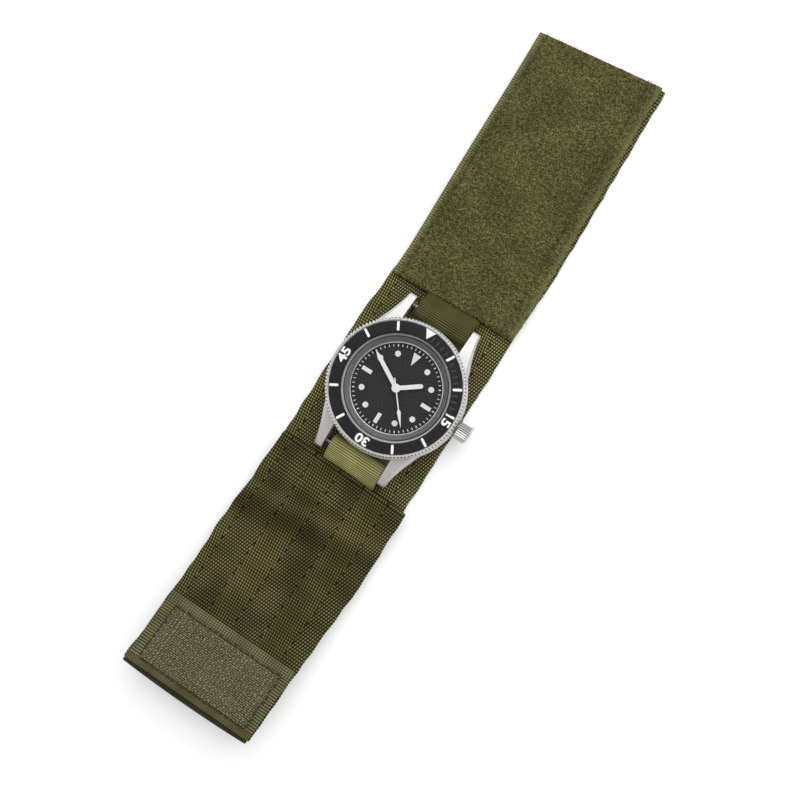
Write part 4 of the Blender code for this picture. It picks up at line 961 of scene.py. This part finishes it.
# %% [markdown]
# ## Stitches
#
# A machine sews the tape down with a dark green thread, in a rectangle a little inside the tape's edge. A
# stitch is a short thread that dips into the cloth at both ends, so each one is a long thin ball sunk half
# into the tape. The loop panel has the same thread along its selvage and near its right edge, almost
# buried in the pile.

# %% Stitches
TWIST_PITCH = 0.3 * MM
STITCH, STITCH_RADIUS, BURIED_RADIUS = 1.8 * MM, 0.30 * MM, 0.13 * MM
thread, tree, shader = finish("sewing_thread", (0.030, 0.036, 0.014), 0.6, shine=0.2)
where, across, along = cloth_place(tree)
twist = wave(plus(across, along), math.tau / TWIST_PITCH)
ply = between(twist, -1.0, 1.0)
paint(shader, blended(ply, (0.020, 0.026, 0.009), (0.052, 0.060, 0.026)))


def sew(bm, start, end, pitch, radius, height, rng):
    """A line of stitches from start to end on the flat cloth."""
    start, end = Vector((*start, height)), Vector((*end, height))
    run = end - start
    for k in range(round(run.length / pitch)):
        ball = bmesh.ops.create_uvsphere(bm, u_segments=6, v_segments=5, radius=1.0)["verts"]
        bmesh.ops.scale(bm, verts=ball, vec=(pitch * 0.46, radius, radius))
        turned_by = math.atan2(run.y, run.x) + rng.uniform(-0.3, 0.3)
        bmesh.ops.rotate(bm, verts=ball, cent=(0, 0, 0), matrix=Matrix.Rotation(turned_by, 3, "Z"))
        aside = Vector((rng.uniform(-0.2, 0.2), rng.uniform(-0.2, 0.2), 0)) * MM
        bmesh.ops.translate(bm, verts=ball, vec=start + run.normalized() * pitch * (k + 0.5) + aside)


rng = random.Random(5)
for i, (start, end) in enumerate(((SEAM_START, LAST_CUT), (LAST_CUT, SEAM_END))):
    bm = bmesh.new()
    crossing = SEAM_START if i == 0 else SEAM_END
    for first, last in (((SEAM_LEFT, start), (SEAM_LEFT, end)), ((SEAM_RIGHT, start), (SEAM_RIGHT, end)),
                        ((SEAM_LEFT, crossing), (SEAM_RIGHT, crossing))):
        sew(bm, first, last, STITCH, STITCH_RADIUS, HOOK_THICK + 0.1 * MM, rng)
    map_cloth(bm)
    piece = settle(f"hook_stitches_{i + 1}", bm, hook_laid, thread)
    bend_on(piece)

for i, (start, end) in enumerate(zip(LOOP_CUTS, LOOP_CUTS[1:])):
    bm = bmesh.new()
    for x in (LEFT_SEAM, RIGHT_SEAM):
        sew(bm, (x, start), (x, end), DIMPLE_PITCH, BURIED_RADIUS, LOOP_THICK, rng)
    map_cloth(bm)
    piece = settle(f"loop_stitches_{i + 1}", bm, loop_laid, thread)
    bend_on(piece)
print("stitches sewn")

# %% [markdown]
# ## Narrow band
#
# The watch is threaded on a narrow ribbed band: up over one spring bar, down and under the case, up over
# the other bar, and away under the panels at both ends. The band is laid along a path by its own length,
# so its ribs keep their pitch where it climbs. Where it turns a corner its outer side is longer than its
# inner side, by its thickness times the angle, and the map of the ribs allows for that.

# %% Narrow band
NARROW_LEFT, NARROW_RIGHT, NARROW_THICK = -7.9 * MM, 9.4 * MM, 0.9 * MM
NARROW_LOW, NARROW_HIGH = 1.5 * MM, 5.85 * MM
NARROW_START, NARROW_END = -33.7 * MM, 35.8 * MM
WALL_FOOT, WALL_RUN = 20.9 * MM, 0.5 * MM
SLOPE_FOOT, SLOPE_RUN = 29.3 * MM, 5.3 * MM
PATH_STEP = 0.05 * MM


def narrow_floor(y):
    """Steep beside the case, flat over the bar, then one long even slope down to the panels."""
    y = abs(y)
    steep = min(1.0, max(0.0, (y - WALL_FOOT) / WALL_RUN))
    slope = min(1.0, max(0.0, (SLOPE_FOOT - y) / SLOPE_RUN))
    return NARROW_LOW + (NARROW_HIGH - NARROW_LOW) * steep * slope


path = [(NARROW_START, narrow_floor(NARROW_START), 0.0)]
while path[-1][0] < NARROW_END:
    y, z, length = path[-1]
    ahead = narrow_floor(y + PATH_STEP)
    path.append((y + PATH_STEP, ahead, length + math.hypot(PATH_STEP, ahead - z)))
NARROW_LENGTH = path[-1][2]


def on_path(s):
    """The place at a length s along the band's path, and the direction there."""
    near, far = 0, len(path) - 2
    while near < far:
        middle = (near + far + 1) // 2
        near, far = (middle, far) if path[middle][2] <= s else (near, middle - 1)
    (y0, z0, s0), (y1, z1, s1) = path[near], path[near + 1]
    t = min(1.0, max(0.0, (s - s0) / (s1 - s0)))
    return y0 + (y1 - y0) * t, z0 + (z1 - z0) * t, Vector((0, y1 - y0, z1 - z0)).normalized()


def narrow_laid(x, s, h):
    """A point at a length s along the band's path, a height h above its underside."""
    y, z, ahead = on_path(s)
    h = edge_draw(x, NARROW_LEFT, NARROW_RIGHT, NARROW_THICK, h)
    return Vector((x, y, z)) + Vector((0, -ahead.z, ahead.y)) * h


bm = cut_cloth(NARROW_LEFT, NARROW_RIGHT, 0, NARROW_LENGTH, NARROW_THICK, CLOTH_STEP, NARROW_PITCH / 4)
cloth_map = bm.loops.layers.uv.verify()
for face in bm.faces:
    for loop in face.loops:
        ahead = on_path(loop.vert.co.y)[2]
        loop[cloth_map].uv.y -= NARROW_THICK * math.atan2(ahead.z, ahead.y)
narrow_band = settle("narrow_band", bm, narrow_laid, narrow_cloth)
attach(narrow_band, "strap_center")
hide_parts("watch_band")
print("narrow band", round(NARROW_LENGTH / MM, 1), "mm long")

# %% [markdown]
# ## Metal and glass of the watch
#
# The watch keeps its solid frame and only gets finishes. Brushed steel has fine scratches in one
# direction, so its finish stretches a noise many times along that direction and uses it for the roughness.
# Turned rings are brushed in circles: their scratches follow the distance from the axis. The crystal is
# almost clear.

# %% Steel finishes
def steel_finish(name, colour, roughness, stretch):
    """Straight-brushed steel: a noise that is stretched along the brushing."""
    made, tree, shader = finish(name, colour, roughness, 1.0)
    where = solid_place(tree)
    scratches = cloudy(stretched(where, stretch), 1.0, 3.0)
    patches = cloudy(where, 260.0, 2.0)
    rough = between(scratches, 0.3, 0.7, roughness - 0.07, roughness + 0.09)
    rough = plus(rough, between(patches, 0.35, 0.7, 0.0, 0.05))
    feed(shader.inputs["Roughness"], rough)
    paint(shader, blended(between(scratches, 0.3, 0.7), tinted(colour, 0.86), colour))
    relief(shader, scratches, 0.004 * MM)
    return made


def toothed_steel_finish(name, colour, roughness, teeth, tooth_start, gap_shade, axle=None):
    """Turned steel with teeth: its scratches are circles, and the gaps between its teeth are painted dark,
    as painted shade.

    The circles lie round Z. For a part that turns on an axle along X, axle is that axle's height."""
    made, tree, shader = finish(name, colour, roughness, 1.0)
    where = solid_place(tree)
    x, y, z = split(where)
    if axle is not None:
        x = minus(z, axle)
    radius = calc("SQRT", plus(times(x, x), times(y, y)))
    rings = fed_node("TexNoise", {"W": radius, "Scale": 6000.0}, noise_dimensions="1D")["Fac"]
    fine = cloudy(where, 500.0, 2.0)
    mixed = plus(times(rings, 0.7), times(fine, 0.3))
    rough = between(mixed, 0.3, 0.7, roughness - 0.06, roughness + 0.1)
    feed(shader.inputs["Roughness"], rough)
    tint = blended(between(mixed, 0.3, 0.7), tinted(colour, 0.85), colour)
    turn = calc("COSINE", times(calc("ARCTAN2", y, x), float(teeth)))
    outside = between(radius, tooth_start, tooth_start + 0.15 * MM)
    # Painted shade in the gaps between the teeth, beyond tooth_start: the colour times gap_shade.
    painted_gap_shade = times(between(turn, 0.0, -0.5), outside)
    paint(shader, blended(painted_gap_shade, tint, tinted(colour, gap_shade)))
    return made


case_steel = steel_finish("case_steel", (0.70, 0.69, 0.68), 0.56, (2600.0, 60.0, 2600.0))
plain_steel = steel_finish("plain_steel", (0.62, 0.62, 0.62), 0.26, (80.0, 2200.0, 2200.0))
ring_steel = steel_finish("ring_steel", (0.88, 0.88, 0.87), 0.30, (300.0, 300.0, 300.0))
dark_steel = steel_finish("dark_steel", (0.20, 0.20, 0.21), 0.35, (90.0, 2500.0, 2500.0))
TURNED_STEEL = (0.76, 0.76, 0.75)
bezel_steel = toothed_steel_finish("bezel_steel", TURNED_STEEL, 0.32, teeth=120, tooth_start=19.35 * MM,
                                   gap_shade=0.12)
crown_steel = toothed_steel_finish("crown_steel", TURNED_STEEL, 0.32, teeth=28, tooth_start=2.6 * MM,
                                   gap_shade=0.35, axle=6.85 * MM)
print("steels ready")

# %% Black, grey, rubber and glass finishes
def mottled_finish(name, colour, roughness, shine, scale, spread=0.12, metallic=0.0):
    """A plain solid finish with faint cloudy differences in colour and roughness."""
    made, tree, shader = finish(name, colour, roughness, metallic, shine)
    spots = cloudy(solid_place(tree), scale, 3.0)
    share = between(spots, 0.3, 0.7)
    paint(shader, blended(share, tinted(colour, 1 - spread), tinted(colour, 1 + spread)))
    rough = between(spots, 0.3, 0.7, roughness - 0.05, roughness + 0.07)
    feed(shader.inputs["Roughness"], rough)
    return made


insert_black = mottled_finish("insert_black", (0.0115, 0.0112, 0.0130), 0.32, 0.22, 700.0)
rehaut_grey = mottled_finish("rehaut_grey", (0.175, 0.18, 0.18), 0.5, 0.3, 900.0)
lume_white = mottled_finish("lume_white", (0.92, 0.92, 0.90), 0.6, 0.3, 1500.0, 0.04)
print_grey = mottled_finish("print_grey", (0.055, 0.055, 0.058), 0.6, 0.2, 1500.0)
hand_white = mottled_finish("hand_white", (0.95, 0.95, 0.94), 0.35, 0.5, 900.0, 0.03)
rubber = mottled_finish("rubber", (0.012, 0.012, 0.012), 0.7, 0.3, 900.0)
holder_white = mottled_finish("holder_white", (0.66, 0.66, 0.63), 0.55, 0.4, 500.0, 0.06)
brass = mottled_finish("brass", (0.72, 0.55, 0.26), 0.32, 0.5, 500.0, 0.1, 1.0)
glass, tree, shader = finish("crystal_glass", (0.02, 0.022, 0.024), 0.03)
smudge = cloudy(solid_place(tree), 180.0, 2.0)
feed(shader.inputs["Roughness"], between(smudge, 0.4, 0.8, 0.02, 0.07))
shader.inputs["Alpha"].default_value = 0.06
print("blacks, greys and glass ready")

# %% [markdown]
# ## Dial
#
# The dial is satin black, and its markers are raised pads of pale lume that belong to the same solid. One
# finish serves both: above the dial's own surface it turns white. The markers are at their known height,
# so no edge is lost.

# %% Dial finish
DIAL_TOP = 8.9 * MM
dial_finish, tree, shader = finish("dial_black", (0.022, 0.022, 0.022), 0.5, shine=0.15)
where = solid_place(tree)
_, _, z = split(where)
on_marker = calc("GREATER_THAN", z, DIAL_TOP + 0.03 * MM)
grain = cloudy(where, 300.0, 2.0)
black = blended(grain, (0.0275, 0.0275, 0.0275), (0.0315, 0.0315, 0.0315))
lume = blended(grain, (0.90, 0.90, 0.88), (0.96, 0.96, 0.94))
paint(shader, blended(on_marker, black, lume))
print("dial finish ready")

# %% A finish for each solid of the watch
NODE_FINISHES = (
    (case_steel, "mid_case"),
    (bezel_steel, "bezel_ring"),
    (crown_steel, "crown"),
    (plain_steel, "case_back battery_cell"),
    (dark_steel, "bezel_click_ring hand_arbor crown_tube winding_stem spring_bar_upper spring_bar_lower"),
    (rubber, "crystal_gasket case_back_gasket crown_gasket"),
    (hand_white, "hour_hand minute_hand seconds_hand"),
    (insert_black, "bezel_insert"),
    (rehaut_grey, "rehaut"),
    (dial_finish, "dial"),
    (glass, "crystal"),
    (brass, "movement"),
    (holder_white, "movement_holder"),
)
for used, nodes in NODE_FINISHES:
    for node in nodes.split():
        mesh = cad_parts[node].data
        mesh.materials.clear()
        mesh.materials.append(used)
    print(used.name, "on", nodes)

# %% [markdown]
# ## Prints on the bezel and the dial
#
# The bezel's insert has a triangle at twelve, bars at every five minutes, bold numerals at the quarters
# with their tops outwards, and faint ticks over the first quarter. The dial has a fine minute track. All
# are thin pads of paint, a few hundredths of a millimetre thick, cut from flat shapes and turned into
# place.

# %% Paint pads
PAD = 0.04 * MM
INSERT_TOP = 12.85 * MM
INSERT_BAR = (16.0 * MM, 18.7 * MM, 0.72 * MM)
INSERT_TICK = (16.1 * MM, 17.7 * MM, 0.42 * MM)
INSERT_TRIANGLE = (18.75 * MM, 16.05 * MM, 3.2 * MM)


def paint_piece(name, bm, used, body):
    bmesh.ops.recalc_face_normals(bm, faces=bm.faces)
    made = object_from(mesh_from(bm, name), name, used)
    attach(made, body)
    return made


def bar_pad(bm, inner, outer, width, angle, floor, rounded=True):
    """A bar that points at the axis, at a clock angle in radians."""
    pad = bmesh.ops.create_cube(bm, size=1.0)["verts"]
    bmesh.ops.scale(bm, verts=pad, vec=(width, outer - inner, PAD))
    if rounded:
        edges = {e for v in pad for e in v.link_edges}
        upright = [e for e in edges if abs(e.verts[0].co.z - e.verts[1].co.z) > PAD / 2]
        pad = bmesh.ops.bevel(bm, geom=upright, offset=width * 0.42, offset_type="OFFSET", affect="EDGES",
                              segments=2, profile=0.5, material=-1)["verts"]
    bmesh.ops.translate(bm, verts=pad, vec=(0, (inner + outer) / 2, floor + PAD / 2))
    bmesh.ops.rotate(bm, verts=pad, cent=(0, 0, 0), matrix=Matrix.Rotation(-angle, 3, "Z"))


def triangle_pad(bm, base_radius, tip_radius, width, floor):
    """A triangle at twelve whose tip points at the axis."""
    pad = bmesh.ops.create_circle(bm, cap_ends=True, segments=3, radius=1.0)["verts"]
    for vert, (x, y) in zip(pad, ((-width / 2, base_radius), (0, tip_radius), (width / 2, base_radius))):
        vert.co = (x, y, floor)
    raised = bmesh.ops.extrude_face_region(bm, geom=list(pad[0].link_faces))["geom"]
    bmesh.ops.translate(bm, verts=[g for g in raised if isinstance(g, bmesh.types.BMVert)], vec=(0, 0, PAD))


bm = bmesh.new()
for minute in (5, 10, 20, 25, 35, 40, 50, 55):
    bar_pad(bm, *INSERT_BAR, math.tau * minute / 60, INSERT_TOP)
triangle_pad(bm, *INSERT_TRIANGLE, INSERT_TOP)
paint_piece("insert_bars", bm, lume_white, "bezel")
bm = bmesh.new()
for minute in range(1, 15):
    if minute % 5:
        bar_pad(bm, *INSERT_TICK, math.tau * minute / 60, INSERT_TOP)
paint_piece("insert_ticks", bm, print_grey, "bezel")
print("insert printed")

# %% Numerals
NUMERAL_HEIGHT, NUMERAL_RADIUS = 2.7 * MM, 17.25 * MM
BOLDER = 0.032


def numeral(text, wide, angle):
    """A bold numeral on the insert, at a clock angle, with its top outwards."""
    curve = bpy.data.curves.new(f"numeral_{text}", "FONT")
    curve.body = text
    curve.size = 1.0
    curve.offset = BOLDER
    curve.extrude = 0.02
    holder = bpy.data.objects.new(f"numeral_{text}", curve)
    bpy.context.collection.objects.link(holder)
    bpy.context.view_layer.update()
    mesh = bpy.data.meshes.new_from_object(holder)
    bpy.data.objects.remove(holder)
    low = Vector([min(v.co[axis] for v in mesh.vertices) for axis in range(3)])
    high = Vector([max(v.co[axis] for v in mesh.vertices) for axis in range(3)])
    size = high - low
    mesh.transform(Matrix.Translation(-(low + high) / 2))
    mesh.transform(Matrix.Diagonal((wide / size.x, NUMERAL_HEIGHT / size.y, PAD / size.z, 1)))
    mesh.transform(Matrix.Translation((0, NUMERAL_RADIUS, INSERT_TOP + PAD / 2)))
    mesh.transform(Matrix.Rotation(-angle, 4, "Z"))
    mesh.materials.clear()
    made = object_from(mesh, f"numeral_{text}", lume_white)
    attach(made, "bezel")


for minute, wide in ((15, 3.6 * MM), (30, 4.0 * MM), (45, 4.4 * MM)):
    numeral(str(minute), wide, math.tau * minute / 60)
print("numerals at the quarters")

# %% Minute track and bright ring
TRACK_INNER, TRACK_OUTER = 11.95 * MM, 12.65 * MM
HOUR_TICK, MINUTE_TICK = 0.30 * MM, 0.20 * MM
RING_RADIUS, RING_HEIGHT, RING_THICK = 13.2 * MM, 9.3 * MM, 0.2 * MM
bm = bmesh.new()
for minute in range(60):
    width = HOUR_TICK if minute % 5 == 0 else MINUTE_TICK
    bar_pad(bm, TRACK_INNER, TRACK_OUTER, width, math.tau * minute / 60, DIAL_TOP, rounded=False)
paint_piece("minute_track", bm, lume_white, "strap_center")

bm = bmesh.new()
bmesh.ops.create_circle(bm, segments=8, radius=RING_THICK)
bmesh.ops.rotate(bm, verts=bm.verts, cent=(0, 0, 0), matrix=Matrix.Rotation(math.pi / 2, 3, "X"))
bmesh.ops.translate(bm, verts=bm.verts, vec=(RING_RADIUS, 0, RING_HEIGHT))
bmesh.ops.spin(bm, geom=bm.verts[:] + bm.edges[:], axis=(0, 0, 1), cent=(0, 0, 0), dvec=(0, 0, 0),
               angle=math.tau, steps=96, use_merge=True)
bmesh.ops.remove_doubles(bm, verts=bm.verts, dist=0.001 * MM)
bright_ring = paint_piece("dial_ring", bm, ring_steel, "strap_center")
bright_ring.data.shade_smooth()
print("track and ring ready")

# %% Finish
low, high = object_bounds()
print("frame box", [[round(v / MM, 1) for v in c] for c in frame_box])
